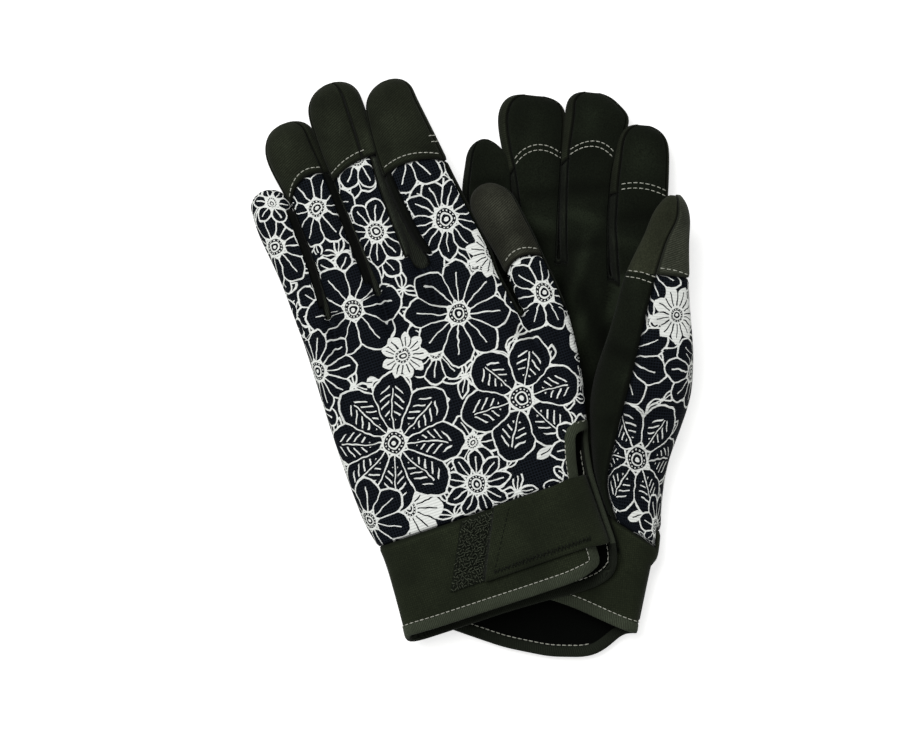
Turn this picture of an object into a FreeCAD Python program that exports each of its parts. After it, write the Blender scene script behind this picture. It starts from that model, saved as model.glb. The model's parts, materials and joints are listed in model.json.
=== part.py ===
import FreeCAD, Part
import math
import os
import re
import Sketcher

# A pair of women's gardening gloves laid down as they are sold: the right glove lies palm up on the
# table, the left glove lies back up across it. Millimetres, +Z up. Each glove has its own flat frame:
# x runs across the hand towards the thumb, y runs from the wrist hem to the fingertips.

doc = FreeCAD.newDocument("GardeningGloves")
sheet = doc.addObject("Spreadsheet::Sheet", "Sizes")

sizes = {
    # cloth and clearances
    "wall": 1.5,  # a sewn panel, shell cloth with its lining
    "layGap": 0.3,  # left glove over right glove, and across every moving seam
    "fingerGap": 1.1,  # between neighbouring fingers at the knuckles
    # hand, both gloves
    "handEdge": 43,  # centre line to the little-finger edge
    "knuckleLine": 138,
    "cuffTop": 38,
    "wristWide": 48,  # centre line to the thumb edge at the top of the cuff
    "hemWide": 46,  # the same at the hem
    "hemFlare": 1,  # how much the little-finger edge flares at the hem
    "bindingWidth": 4,
    # left hand
    "handHeight": 13,
    "thumbLine": 103,  # where the left thumb is set in
    "thumbSide": 59.5,  # centre line to the left thumb's root
    "thenarWide": 67,
    "thenarLine": 83,
    "slitWide": 60,
    "slitLine": 62,
    # right hand
    "foldWide": 56,  # widest point of the rolled thumb side
    "foldLine": 110,
    "foldTop": 124,  # the thumb tube starts here
    "heelWide": 50,
    "heelLine": 60,
    "thumbFold": 36,  # centre line to the folded right thumb's root
    "moundFoot": 29,  # thumb mound: centre line to its inner side at the wrist
    "moundSide": 15,  # and beside the thumb tube
    "moundStart": 45,
    "moundCrest": 100,
    "seamFoot": 21,  # palm to back seam along the mound, centre line to its foot
    "seamHead": 31,  # and to its head
    # fingers: flattened width, and how much of the tip is capped
    "littleWidth": 18,
    "ringWidth": 21.5,
    "middleWidth": 21.5,
    "indexWidth": 22.5,
    "thumbWidth": 19,
    "littleCap": 9,
    "ringCap": 24,
    "middleCap": 26,
    "indexCap": 27,
    "thumbCap": 33,
    "thumbReach": 68.5,
    # how far each finger reaches as it lies, and how far it leans to the little-finger side
    "leftLittleReach": 60,
    "leftRingReach": 84.5,
    "leftMiddleReach": 94,
    "leftIndexReach": 86.5,
    "leftLittleLeanAngle": 5.1,
    "leftRingLeanAngle": 5.4,
    "leftMiddleLeanAngle": 4.4,
    "leftIndexLeanAngle": 4.6,
    "leftThumbLeanAngle": 6.7,
    "rightLittleReach": 70.5,
    "rightRingReach": 91.5,
    "rightMiddleReach": 95,
    "rightIndexReach": 82.5,
    "rightLittleLeanAngle": 6.3,
    "rightRingLeanAngle": 6.4,
    "rightMiddleLeanAngle": 4,
    "rightIndexLeanAngle": 4.1,
    "rightThumbLeanAngle": -3.4,
    # how thick each digit lies
    "rightLittleHeight": 8.4,
    "rightRingHeight": 9.8,
    "rightMiddleHeight": 12,
    "rightIndexHeight": 14,
    "thumbHeight": 12.5,
    # closure on the back of the cuff
    "pileThick": 0.8,  # loop patch, and hook patch
    "tabThick": 1.5,
    "loopFoot": 19,  # loop patch: centre line to its lower outer corner
    "loopShear": 14,  # how far its upper edge stands towards the thumb
    "loopWide": 38,
    "loopInset": 6,  # hem binding to the loop patch
    "tabFoot": -5,  # tab: centre line to its free lower corner, positive towards the thumb
    "tabShear": 14,
    "tabInset": 1,  # loop patch's top edge below the cuff's top
    "hookWide": 16,
    # lay of the pair
    "tiltAngle": 5.37,  # the left glove climbs over the right one at this slope
    "leftX": 110,
    "leftY": -98.5,
    "leftTurnAngle": 19,
    "rightX": 124.5,
    "rightY": -113,
    "rightTurnAngle": -5.7,
}
for row, (alias, value) in enumerate(sizes.items(), 1):
    sheet.set("A%d" % row, alias)
    sheet.set("B%d" % row, str(value))
    sheet.setAlias("B%d" % row, alias)
doc.recompute()


def size(alias):
    return float(sheet.get(alias))


def value(expression):
    return float(sheet.evalExpression(expression))


aliasName = re.compile(r"\b(%s)\b" % "|".join(sizes))


def bound(expression):
    # the same formula, as an object outside the sheet writes it
    return aliasName.sub(r"<<Sizes>>.\1", expression)


over = 2.0  # how far a cutting tool runs past the faces that it opens


# ---- building blocks: each one's sizes are formulas over the sheet's names


def box(name, low, high):
    # a block between two corners
    feature = doc.addObject("Part::Box", name)
    for i, (prop, axis) in enumerate((("Length", "x"), ("Width", "y"), ("Height", "z"))):
        feature.setExpression("Placement.Base." + axis, bound(low[i]))
        feature.setExpression(prop, bound("(%s) - (%s)" % (high[i], low[i])))
    return feature


def disc(name, radius, centre, low, high):
    # an upright cylinder on the digit's centre line
    feature = doc.addObject("Part::Cylinder", name)
    feature.setExpression("Radius", bound(radius))
    feature.setExpression("Height", bound("(%s) - (%s)" % (high, low)))
    feature.setExpression("Placement.Base.y", bound(centre))
    feature.setExpression("Placement.Base.z", bound(low))
    return feature


def prism(name, corners, low, high, upright=True):
    # a polygon raised from low to high; not upright, its corners are (y, z) and it runs along x
    sketch = doc.addObject("Sketcher::SketchObject", name + "Outline")
    points = [FreeCAD.Vector(value(a), value(b), 0) for a, b in corners]
    for i, point in enumerate(points):
        sketch.addGeometry(Part.LineSegment(point, points[(i + 1) % len(points)]), False)
    for i in range(len(points)):
        sketch.addConstraint(Sketcher.Constraint("Coincident", i, 2, (i + 1) % len(points), 1))
    for i, (a, b) in enumerate(corners):
        for kind, formula, number in (("DistanceX", a, points[i].x), ("DistanceY", b, points[i].y)):
            index = sketch.addConstraint(Sketcher.Constraint(kind, -1, 1, i, 1, number))
            sketch.setExpression("Constraints[%d]" % index, bound(formula))
    axis = "z"
    if not upright:
        sketch.Placement.Rotation = FreeCAD.Rotation(FreeCAD.Vector(1, 1, 1), 120)
        axis = "x"
    sketch.setExpression("Placement.Base." + axis, bound(low))
    feature = doc.addObject("Part::Extrusion", name)
    feature.Base = sketch
    feature.DirMode = "Normal"
    feature.Solid = True
    feature.setExpression("LengthFwd", bound("(%s) - (%s)" % (high, low)))
    return feature


def fuse(name, *shapes):
    feature = doc.addObject("Part::MultiFuse", name)
    feature.Shapes = list(shapes)
    return feature


def common(name, shape, *regions):
    feature = doc.addObject("Part::Common", name)
    feature.Base = shape
    feature.Tool = regions[0] if len(regions) == 1 else fuse(name + "Region", *regions)
    return feature


def cut(name, shape, *tools):
    feature = doc.addObject("Part::Cut", name)
    feature.Base = shape
    feature.Tool = tools[0] if len(tools) == 1 else fuse(name + "Tools", *tools)
    return feature


# ---- frames: where each glove and each digit lies

# the slope meets the table at x = 0
slope = FreeCAD.Placement(
    FreeCAD.Vector(), FreeCAD.Rotation(FreeCAD.Vector(0, 1, 0), -size("tiltAngle"))
)


def flat(x, y, z, turn):
    return FreeCAD.Placement(
        FreeCAD.Vector(x, y, z), FreeCAD.Rotation(FreeCAD.Vector(0, 0, 1), turn)
    )


rightFloorX = size("rightX") * math.cos(math.radians(size("tiltAngle")))
frames = {
    "left": slope * flat(size("leftX"), size("leftY"), 0, size("leftTurnAngle")),
    "rightTop": slope * flat(size("rightX"), size("rightY"), -size("layGap"), size("rightTurnAngle")),
    "right": flat(rightFloorX, size("rightY"), 0, size("rightTurnAngle")),
}
parts = {}


def keep(node, feature, frame):
    feature.Label = node
    feature.Placement = frame
    parts[node] = feature


# ---- digits, each in its own frame: x across, y along, z up from the underside


def tube(name, width, reach, height):
    # a flattened finger tube, closed by a round tip, open at its root
    half = "%s / 2" % width
    stop = "%s - %s" % (reach, half)
    outer = fuse(
        name + "Outer",
        box(name + "OuterRun", ("-" + half, "0", "0"), (half, stop, height)),
        disc(name + "OuterTip", half, stop, "0", height),
    )
    innerHalf = "%s - wall" % half
    roof = "%s - wall" % height
    inner = fuse(
        name + "Inner",
        box(name + "InnerRun", ("-(%s)" % innerHalf, "-%s" % over, "wall"), (innerHalf, stop, roof)),
        disc(name + "InnerTip", innerHalf, stop, "wall", roof),
    )
    return cut(name + "Shell", outer, inner)


def digit(glove, name, reach, height, frame, backOnTop, seam):
    # back, palm, side strips, fingertip cap and palm-side tip patch of one digit
    node = "%s_%s" % (glove, name)
    tag = glove + name.capitalize()
    width = name + "Width"
    shell = tube(tag, width, reach, height)
    left = "-%s" % width
    split = "%s - %sCap" % (reach, name)
    runEnd = "%s - %s" % (split, seam)
    tipEnd = "%s + %s" % (reach, over)
    root = "-%s" % over
    low = ("-%s" % over, "wall")
    high = ("%s - wall" % height, "%s + %s" % (height, over))
    middle = ("wall", "%s - wall" % height)
    backLayer, palmLayer = (high, low) if backOnTop else (low, high)

    def region(part, start, end, layer, x0=left, x1=width):
        return box(tag + part, (x0, start, layer[0]), (x1, end, layer[1]))

    def piece(part, *regions):
        keep("%s_%s" % (node, part), common(tag + part.title().replace("_", ""), shell, *regions), frame)

    if name == "little":
        piece(
            "back",
            region("BackRun", root, tipEnd, backLayer),
            region("BackEnd", split, tipEnd, middle),
        )
        piece("palm", region("PalmRun", root, tipEnd, palmLayer))
        piece("fourchettes", region("SideRun", root, split, middle))
        return
    if name == "thumb" and not backOnTop:
        # the folded thumb lies on its side: its seam runs along the top
        seamSide = "-%s / 6" % width
        upper = ("wall", high[1])
        for part, start, end in (("back", root, runEnd), ("cap", split, tipEnd)):
            piece(
                part,
                region(part + "Low", start, end, low),
                region(part + "Side", start, end, upper, seamSide, width),
            )
        piece("palm", region("PalmRun", root, runEnd, upper, left, seamSide))
        piece("tip_patch", region("PatchRun", split, tipEnd, upper, left, seamSide))
        return
    walls = ("wall", high[1]) if backOnTop else (low[0], "%s - wall" % height)
    piece("palm", region("PalmRun", root, runEnd, palmLayer))
    piece("tip_patch", region("PatchRun", split, tipEnd, palmLayer))
    piece("cap", region("CapRun", split, tipEnd, walls))
    if name == "thumb":
        piece("back", region("BackRun", root, runEnd, walls))
    else:
        piece("back", region("BackRun", root, runEnd, backLayer))
        piece("fourchettes", region("SideRun", root, runEnd, middle))


def root(across, line, lean, width, gap):
    # a digit's root: its lower corner clears the hand's edge by the gap
    drop = size(width) / 2 * math.sin(math.radians(abs(size(lean))))
    return flat(across, line + drop + gap, 0, size(lean))


fingers = ("little", "ring", "middle", "index")
fingerRoots = {}
edge = -size("handEdge")
for finger in fingers:
    fingerRoots[finger] = edge + size(finger + "Width") / 2
    edge += size(finger + "Width") + size("fingerGap")
knuckleRight = "littleWidth + ringWidth + middleWidth + indexWidth + 3 * fingerGap - handEdge"

for finger in fingers:
    tag = finger.capitalize()
    seat = root(
        fingerRoots[finger],
        size("knuckleLine"),
        "left%sLeanAngle" % tag,
        finger + "Width",
        size("layGap"),
    )
    frames["left_" + finger] = frames["left"] * seat
    digit("left", finger, "left%sReach" % tag, "handHeight", frames["left_" + finger], True, "0")

for finger in fingers:
    tag = finger.capitalize()
    height = "right%sHeight" % tag
    seat = root(fingerRoots[finger], size("knuckleLine"), "right%sLeanAngle" % tag, finger + "Width", 0)
    drop = FreeCAD.Placement(FreeCAD.Vector(0, 0, -size(height)), FreeCAD.Rotation())
    frames["right_" + finger] = frames["rightTop"] * seat * drop
    digit(
        "right", finger, "right%sReach" % tag, height, frames["right_" + finger], False, "layGap"
    )

seat = root(size("thumbSide"), size("thumbLine"), "leftThumbLeanAngle", "thumbWidth", size("layGap"))
frames["left_thumb"] = frames["left"] * seat
digit("left", "thumb", "thumbReach", "thumbHeight", frames["left_thumb"], True, "0")

# the right thumb lies on the palm, one clearance above it
seat = root(size("thumbFold"), size("foldTop"), "rightThumbLeanAngle", "thumbWidth", size("layGap"))
lift = FreeCAD.Placement(FreeCAD.Vector(0, 0, size("layGap")), FreeCAD.Rotation())
frames["right_thumb"] = frames["rightTop"] * seat * lift
digit("right", "thumb", "thumbReach", "thumbHeight", frames["right_thumb"], False, "0")


# ---- left hand: palm below, printed back above


def leftHand():
    notch = "thumbSide - thumbWidth / 2 - fingerGap"
    bend = "thumbSide + thumbWidth / 2"
    outer = prism(
        "LeftHandOuter",
        [
            ("-handEdge", "cuffTop"),
            ("wristWide", "cuffTop"),
            ("slitWide", "slitLine"),
            ("thenarWide", "thenarLine"),
            (bend, "thumbLine"),
            (notch, "thumbLine"),
            (knuckleRight, "knuckleLine"),
            ("-handEdge", "knuckleLine"),
        ],
        "0",
        "handHeight",
    )
    # open at the wrist, at the fingers and at the thumb
    inner = prism(
        "LeftHandInner",
        [
            ("wall - handEdge", "cuffTop - %s" % over),
            ("wristWide - wall", "cuffTop - %s" % over),
            ("slitWide - wall", "slitLine"),
            ("thenarWide - wall", "thenarLine"),
            (bend + " - wall", "thumbLine + %s" % over),
            (notch + " + wall", "thumbLine + %s" % over),
            (notch + " + wall", "thumbLine - wall"),
            (notch + " - wall", "thumbLine - wall"),
            (knuckleRight + " - wall", "knuckleLine + %s" % over),
            ("wall - handEdge", "knuckleLine + %s" % over),
        ],
        "wall",
        "handHeight - wall",
    )
    shell = cut("LeftHandShell", outer, inner)
    low = ("-2 * handEdge", "0", "-%s" % over)
    palm = common("LeftPalmPanel", shell, box("LeftPalmLayer", low, ("2 * handEdge", "knuckleLine", "wall")))
    above = ("-2 * handEdge", "0", "wall")
    top = ("2 * handEdge", "knuckleLine", "handHeight + %s" % over)
    back = common("LeftBackPanel", shell, box("LeftBackLayer", above, top))
    keep("left_palm_panel", palm, frames["left"])
    keep("left_back_panel", back, frames["left"])


# ---- right hand: printed back on the table, palm above, thumb mound folded onto the palm


def rightHand():
    tilted = frames["right"].inverse() * frames["rightTop"]
    sky = "handHeight * 4"
    edges = [
        ("heelWide", "heelLine"),
        ("foldWide", "foldLine"),
        (knuckleRight, "knuckleLine"),
    ]
    outline = [("-handEdge", "cuffTop"), ("wristWide", "cuffTop")] + edges
    outline.append(("-handEdge", "knuckleLine"))
    open0 = "cuffTop - %s" % over
    open1 = "knuckleLine + %s" % over
    inside = [("wall - handEdge", open0), ("wristWide - wall", open0)]
    inside += [(x + " - wall", y) for x, y in edges[:2]]
    inside += [(knuckleRight + " - wall", open1), ("wall - handEdge", open1)]

    def halfSpace(name, drop):
        # everything above the sloping top face, lowered by a wall for the inner surface
        block = doc.addObject("Part::Box", name)
        for prop, formula in (("Length", "handEdge * 6"), ("Width", "knuckleLine * 3"), ("Height", sky)):
            block.setExpression(prop, bound(formula))
        corner = FreeCAD.Vector(-3 * size("handEdge"), -size("knuckleLine"), -drop)
        block.Placement = tilted * FreeCAD.Placement(corner, FreeCAD.Rotation())
        return block

    body = cut("RightHandBody", prism("RightHandOuter", outline, "0", sky), halfSpace("RightSky", 0))
    hollow = cut(
        "RightHandHollow",
        prism("RightHandInner", inside, "wall", sky),
        halfSpace("RightSkyInner", size("wall")),
    )

    def mound(name, start, crest, roof, floor, end, inset, edge):
        # a ramp that rises from the palm to the thumb tube, trimmed to its plan and to the hand's edge
        profile = [(start, floor), (end, floor), (end, roof), (crest, roof)]
        ramp = prism(name + "Ramp", profile, "0", "foldWide * 2", upright=False)
        ramp.Placement = tilted
        plan = [
            ("moundFoot + " + inset, "moundStart"),
            ("foldWide * 2", "moundStart"),
            ("foldWide * 2", "foldTop + %s" % over),
            ("moundSide + " + inset, "foldTop + %s" % over),
        ]
        inPlan = common(name + "InPlan", ramp, prism(name + "Plan", plan, "0", sky))
        return common(name, inPlan, prism(name + "Edge", edge, "0", sky))

    roof = "thumbHeight + layGap"
    outerMound = mound("MoundOuter", "moundStart", "moundCrest", roof, "-wall", "foldTop", "0", outline)
    innerMound = mound(
        "MoundInner",
        "moundStart + 6 * wall",
        "moundCrest + wall",
        roof + " - wall",
        "-2 * wall",
        "foldTop + %s" % over,
        "wall",
        inside,
    )
    shell = cut(
        "RightHandShell",
        fuse("RightHandSolid", body, outerMound),
        fuse("RightHandVoid", hollow, innerMound),
    )
    # the back panel is the floor, the little-finger edge and all that lies beyond the thumb seam
    far = "handEdge * 2"
    floor = box("RightBackFloor", ("-" + far, "0", "-%s" % over), (far, "knuckleLine", "wall"))
    rim = box("RightBackRim", ("-" + far, "0", "0"), ("wall - handEdge", "knuckleLine", sky))
    beyond = prism(
        "RightBackSide",
        [
            ("seamFoot + 2 * bindingWidth", "0"),
            (far, "0"),
            (far, "knuckleLine"),
            ("seamHead + 2 * bindingWidth", "knuckleLine"),
            ("seamHead", "foldTop"),
            ("seamFoot", "heelLine"),
        ],
        "0",
        sky,
    )
    regions = fuse("RightBackRegion", floor, rim, beyond)
    keep("right_back_panel", common("RightBackPanel", shell, regions), frames["right"])
    keep("right_palm_panel", cut("RightPalmPanel", shell, regions), frames["right"])
    return halfSpace


# ---- cuffs: a band in two halves, a bound hem, and the hook-and-loop closure on the back


def ring(name, start, end, low, high, sky=None):
    # a flat sleeve between two lines across the wrist
    sides = [
        ("-handEdge - hemFlare", start),
        ("hemWide", start),
        ("wristWide", end),
        ("-handEdge", end),
    ]
    if start == "0":
        sides = sides[:2] + [("hemWide", end), ("-handEdge - hemFlare", end)]
    inside = [(x + (" + wall" if x[0] == "-" else " - wall"), y) for x, y in sides]
    for i, way in enumerate(("-", "-", "+", "+")):
        inside[i] = (inside[i][0], "%s %s %s" % (inside[i][1], way, over))
    outer = prism(name + "Outer", sides, low, high)
    inner = prism(name + "Inner", inside, low + " + wall", high if sky else high + " - wall")
    if sky:
        outer = cut(name + "OuterTrim", outer, sky(name + "Sky", 0))
        inner = cut(name + "InnerTrim", inner, sky(name + "SkyInner", size("wall")))
    return cut(name, outer, inner)


def pile(name, across, width, low, high, start, end, shear):
    # a patch whose two ends slant with the tab
    corners = [
        (across, start),
        ("%s + %s" % (across, width), start),
        ("%s + %s + %s" % (across, width, shear), end),
        ("%s + %s" % (across, shear), end),
    ]
    return prism(name, corners, low, high)


def cuff(glove, frame, bandLow, bandHigh, backUp, sky=None):
    tag = glove.capitalize()
    shell = ring(tag + "Band", "bindingWidth", "cuffTop", bandLow, bandHigh, sky)
    far = "handEdge * 2"
    if backUp:
        low, high = bandLow + " + wall", bandHigh + " + %s" % over
    else:
        low, high = bandLow + " - %s" % over, bandLow + " + wall"
    layer = box(tag + "BandLayer", ("-" + far, "-%s" % over, low), (far, "cuffTop", high))
    rim = box(
        tag + "BandRim",
        ("-" + far, "-%s" % over, bandLow),
        ("wall - handEdge", "cuffTop", bandHigh),
    )
    side = box(
        tag + "BandSide",
        ("hemWide - wall", "-%s" % over, bandLow + " - %s" % over),
        (far, "cuffTop", bandHigh + " + %s" % over),
    )
    region = cut(tag + "BandBackRegion", fuse(tag + "BandBackBoth", layer, rim), side)
    keep(glove + "_cuff_back", common(tag + "CuffBack", shell, region), frame)
    hem = ring(tag + "Hem", "0", "bindingWidth", bandLow, bandHigh, sky)
    keep(glove + "_edge_binding", hem, frame)
    start, end = "bindingWidth + loopInset", "cuffTop - tabInset"
    near = bandHigh if backUp else bandLow + " - pileThick"
    facing = "%s %s pileThick %s layGap" % ((near, "+", "+") if backUp else (near, "-", "-"))
    cover = "%s + pileThick" % facing if backUp else "%s - tabThick" % facing
    patch = pile(tag + "Loop", "-loopFoot", "loopWide", near, near + " + pileThick", start, end, "loopShear")
    keep(glove + "_loop_patch", patch, frame)
    hook = pile(tag + "Hook", "tabFoot", "hookWide", facing, facing + " + pileThick", start, end, "tabShear")
    keep(glove + "_hook_patch", hook, frame)
    tab = prism(
        tag + "Tab",
        [("tabFoot", start), ("hemWide", start), ("wristWide", end), ("tabFoot + tabShear", end)],
        cover,
        cover + " + tabThick",
    )
    keep(glove + "_closure_tab", tab, frame)
    # the palm half turns up round the thumb edge and carries the tab's root
    seat = (near, cover + " - layGap") if backUp else (cover + " + tabThick + layGap", bandLow)
    turnUp = prism(
        tag + "TabSeat",
        [
            ("hemWide - wall", start),
            ("hemWide", start),
            ("wristWide", end),
            ("wristWide - wall", end),
        ],
        *seat,
    )
    half = cut(tag + "CuffPalmBand", shell, region)
    keep(glove + "_cuff_palm", fuse(tag + "CuffPalm", half, turnUp), frame)


leftHand()
rightSky = rightHand()
cuff("left", frames["left"], "0", "handHeight", True)
closure = "2 * pileThick + layGap + tabThick"
cuff("right", frames["right"], closure, "handHeight * 4", False, rightSky)

doc.recompute()

# ---- the origin is at the middle of the pair's footprint, on the table

extent = FreeCAD.BoundBox()
for feature in parts.values():
    extent.add(feature.Shape.BoundBox)
toOrigin = FreeCAD.Placement(
    FreeCAD.Vector(-extent.Center.x, -extent.Center.y, -extent.ZMin), FreeCAD.Rotation()
)
for feature in parts.values():
    feature.Placement = toOrigin * feature.Placement
doc.recompute()

# ---- check and write

for item in doc.Objects:
    if "Invalid" in item.State or "Error" in item.State:
        raise RuntimeError("%s failed: %s" % (item.Name, item.State))
for node, feature in parts.items():
    if feature.Shape.isNull() or not feature.Shape.isValid() or not feature.Shape.Solids:
        raise RuntimeError("%s has no valid solid" % node)
os.makedirs("parts", exist_ok=True)
for node, feature in parts.items():
    feature.Shape.exportStep("parts/%s.step" % node)
print(len(parts), "sub-parts written")
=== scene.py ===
import json
import math
import random

import bmesh
import bpy
import numpy as np
from mathutils import Matrix, Vector
from mathutils.bvhtree import BVHTree


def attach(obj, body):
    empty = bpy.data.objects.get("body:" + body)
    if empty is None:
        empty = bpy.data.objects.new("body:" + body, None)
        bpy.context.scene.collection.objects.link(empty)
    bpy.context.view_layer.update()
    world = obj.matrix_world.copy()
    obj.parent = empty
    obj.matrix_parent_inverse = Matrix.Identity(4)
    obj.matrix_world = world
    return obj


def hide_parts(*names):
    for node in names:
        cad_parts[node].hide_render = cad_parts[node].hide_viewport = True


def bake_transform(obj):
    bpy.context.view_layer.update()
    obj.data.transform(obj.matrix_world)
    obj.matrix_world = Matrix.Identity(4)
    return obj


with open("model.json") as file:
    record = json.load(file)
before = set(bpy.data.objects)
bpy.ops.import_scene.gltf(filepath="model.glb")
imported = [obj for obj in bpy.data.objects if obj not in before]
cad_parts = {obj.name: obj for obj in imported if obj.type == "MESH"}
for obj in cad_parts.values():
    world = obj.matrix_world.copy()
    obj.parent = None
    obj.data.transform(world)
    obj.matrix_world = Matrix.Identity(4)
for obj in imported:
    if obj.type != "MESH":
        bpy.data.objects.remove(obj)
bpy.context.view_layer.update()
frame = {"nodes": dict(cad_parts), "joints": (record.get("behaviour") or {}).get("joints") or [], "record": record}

# A pair of gardening gloves laid flat: the right one palm up, the left one back up across it.
# Lengths are millimetres in each glove's own flat frame: u across the hand towards the thumb,
# v from the cuff hem to the fingertips, w up. places carries each glove to the part's frame.

mm = 0.001

lay = {
    "slope": 5.37,  # degrees the left glove climbs over the right one
    "leftTurn": 19,
    "rightTurn": -5.7,
    "leftThick": 13,
    "gap": 0.3,
    "leftLittleHinge": (-34, 139.1, 13),  # the same hinge points in the gloves' own frames
    "rightThumbHinge": (45.3, 124.3),
}


def hingeSpot(name):
    joint = next(j for j in frame["joints"] if j["name"] == name)
    return Vector(joint["pos_m"]) / mm


slope = math.radians(lay["slope"])
leftSpin = Matrix.Rotation(-slope, 4, "Y") @ Matrix.Rotation(math.radians(lay["leftTurn"]), 4, "Z")
rightSpin = Matrix.Rotation(math.radians(lay["rightTurn"]), 4, "Z")
leftHinge, rightHinge = hingeSpot("left_little_lift"), hingeSpot("right_thumb_swing")
rightFoot = Vector((*lay["rightThumbHinge"], rightHinge.z))
places = {
    "left": Matrix.Translation(leftHinge - leftSpin @ Vector(lay["leftLittleHinge"])) @ leftSpin,
    "right": Matrix.Translation(rightHinge - rightSpin @ rightFoot) @ rightSpin,
}
slopeStart = rightHinge.x - rightHinge.z / math.tan(slope)


def slopeHeight(u, v):
    # height of the left glove's underside over a point of the right glove
    row = places["right"][0]
    return (row[0] * u + row[1] * v + row[3] - slopeStart) * math.tan(slope) - lay["gap"]


def ease(share):
    share = min(max(share, 0), 1)
    return share * share * (3 - 2 * share)


def along(line, at):
    # the value at a place on a line given as (place, value) pairs
    return float(np.interp(at, [p[0] for p in line], [p[1] for p in line]))


def boxed(value, power):
    # one side of a circle squared up: a power of 1 leaves it round
    return math.copysign(abs(value) ** power, value) if abs(value) > 1e-9 else 0


print("frame read:", len(frame["nodes"]), "nodes")

# The sewn shape of a glove is one net of four-sided faces: rings round every digit, joined by the
# two layers of the hand. Each face knows which panel it is cut from.

ringSteps = 16  # points round a digit: 0 is the thumb side, 4 the top, 8 the little side, 12 the underside
half = ringSteps // 2
overSteps = range(half - 1, 0, -1)  # the top of a ring, from the little side to the thumb side
boxy = 0.8  # below 1, a digit's section is flatter than an ellipse
fingerNames = ("little", "ring", "middle", "index")
digitShape = {
    "rowPitch": 6,  # rows of the net along a digit
    "tipRows": (0.62, 0.34, 0.15, 0.045, 0.006),  # share of the round tip that is left at each of its rows
    "tipRound": 7, "tipLeast": 0.42,  # the tip thins over this length, to this share of its height
    "slantOver": 20, "bowOver": 22,  # the root's slant and the bow of the cap's edge fade out over these
    "bulgeRise": 10, "bulgeEnd": 12, "bulgeFall": 16,  # the underside bulges from the root to near the cap
    "rootEnd": 7,  # rows this near the root have their own panels
}


def ringShape(step):
    turn = 2 * math.pi * step / ringSteps
    return boxed(math.cos(turn), boxy), 0.5 + 0.5 * boxed(math.sin(turn), boxy)


def addPoint(net, u, v, w):
    net["points"].append((u, v, w))
    return len(net["points"]) - 1


def addFace(net, corners, label):
    net["faces"].append(tuple(corners))
    net["labels"].append(label)


def ringFace(ring, above, step):
    following = (step + 1) % ringSteps
    return ring[step], ring[following], above[following], above[step]


def closeTip(net, ring, labelAt):
    # faces straight across the last ring
    for step in range(1, half - 1):
        addFace(net, (ring[step], ring[step + 1], ring[-step - 1], ring[-step]), labelAt(step))
    addFace(net, (ring[0], ring[1], ring[-1]), labelAt(0))
    addFace(net, (ring[half], ring[half + 1], ring[half - 1]), labelAt(half))


def nearTip(left, right, tipU, share, blunt):
    # middle and half width of a tip where this share of it is left
    width = (1 - (1 - share) ** blunt) ** (1 / blunt)
    middle = (left + right) / 2 * share + tipU * (1 - share)
    return middle, (right - left) / 2 * width


def tipHeight(fromTip, shape):
    # share of the full height that is left near a tip
    return max(math.sqrt(1 - (1 - min(fromTip / shape["tipRound"], 1)) ** 2), shape["tipLeast"])


def digitRows(digit):
    # (v, left, right, height share) from above the root to the last ring before the tip
    root = (digit["root"][0][1] + digit["root"][1][1]) / 2
    tipU, tipV = digit["tip"]
    cap, shoulder = digit["cap"], tipV - digit["round"]
    pitch = digitShape["rowPitch"]
    lower, upper = max(2, round((cap - root) / pitch)), max(1, round((shoulder - cap) / pitch))
    stops = [root + (cap - root) * (i + 1) / lower for i in range(lower)]
    stops += [cap + (shoulder - cap) * (i + 1) / upper for i in range(upper)]
    rows = [(v, along(digit["left"], v), along(digit["right"], v), 1) for v in stops]
    left, right = rows[-1][1:3]
    for share in digitShape["tipRows"]:
        fromTip = digit["round"] * share
        middle, wide = nearTip(left, right, tipU, share, digit["blunt"])
        rows.append((tipV - fromTip, middle - wide, middle + wide, tipHeight(fromTip, digitShape)))
    return rows


def panelAt(glove, name, digit, step, tip, root):
    # the panel at a step of a digit's ring; "|" marks a seam inside a panel
    part = "palm" if step in digit["palm"] else "back"
    if tip and "patch" in digit:
        part = "cap" if step in digit["capTop"] else "cap|side"
        part = "tip_patch" if step in digit["patch"] else part
    elif step in digit["strips"] and not (tip and digit.get("bareTip")):
        if not (glove == "left" and root and step in (1, 6)):
            part = "fourchettes"
    return "%s_%s_%s" % (glove, name, part)


def addDigit(net, ring, glove, name, digit, hand):
    leftV, rightV = [v for u, v in digit["root"]]
    rootV, cap = (leftV + rightV) / 2, digit["cap"]
    for v, left, right, tall in digitRows(digit):
        slant = (rightV - leftV) * max(0, 1 - (v - rootV) / digitShape["slantOver"])
        bow = digit["arch"] * max(0, 1 - abs(v - cap) / digitShape["bowOver"])
        ended = ease((v - cap + digitShape["bulgeEnd"]) / digitShape["bulgeFall"])
        grown = ease((v - rootV) / digitShape["bulgeRise"]) * (1 - ended)
        above = []
        for step in range(ringSteps):
            x, z = ringShape(step)
            rowV = v + slant * x / 2 - bow * (x - digit.get("bowSide", 0)) ** 2
            if tall == 1:
                left, right = along(digit["left"], rowV), along(digit["right"], rowV)
            u = (left + right) / 2 + (right - left) / 2 * x
            if z < 0.5 and tall == 1:  # the underside bulges out to meet the next digit
                u += digit.get("flare", (0, 0))[x > 0] * grown * (1 - 2 * z) ** 0.5
            top, bottom = hand["high"](u, rowV), hand["low"](u, rowV)
            above.append(addPoint(net, u, rowV, (top + bottom) / 2 + (z - 0.5) * (top - bottom) * tall))
        for step in range(ringSteps):
            atRoot = v - rootV < digitShape["rootEnd"]
            label = panelAt(glove, name, digit, step, v > cap + 0.01, atRoot)
            addFace(net, ringFace(ring, above, step), label)
        ring = above
    closeTip(net, ring, lambda step: panelAt(glove, name, digit, 3, True, False))


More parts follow.
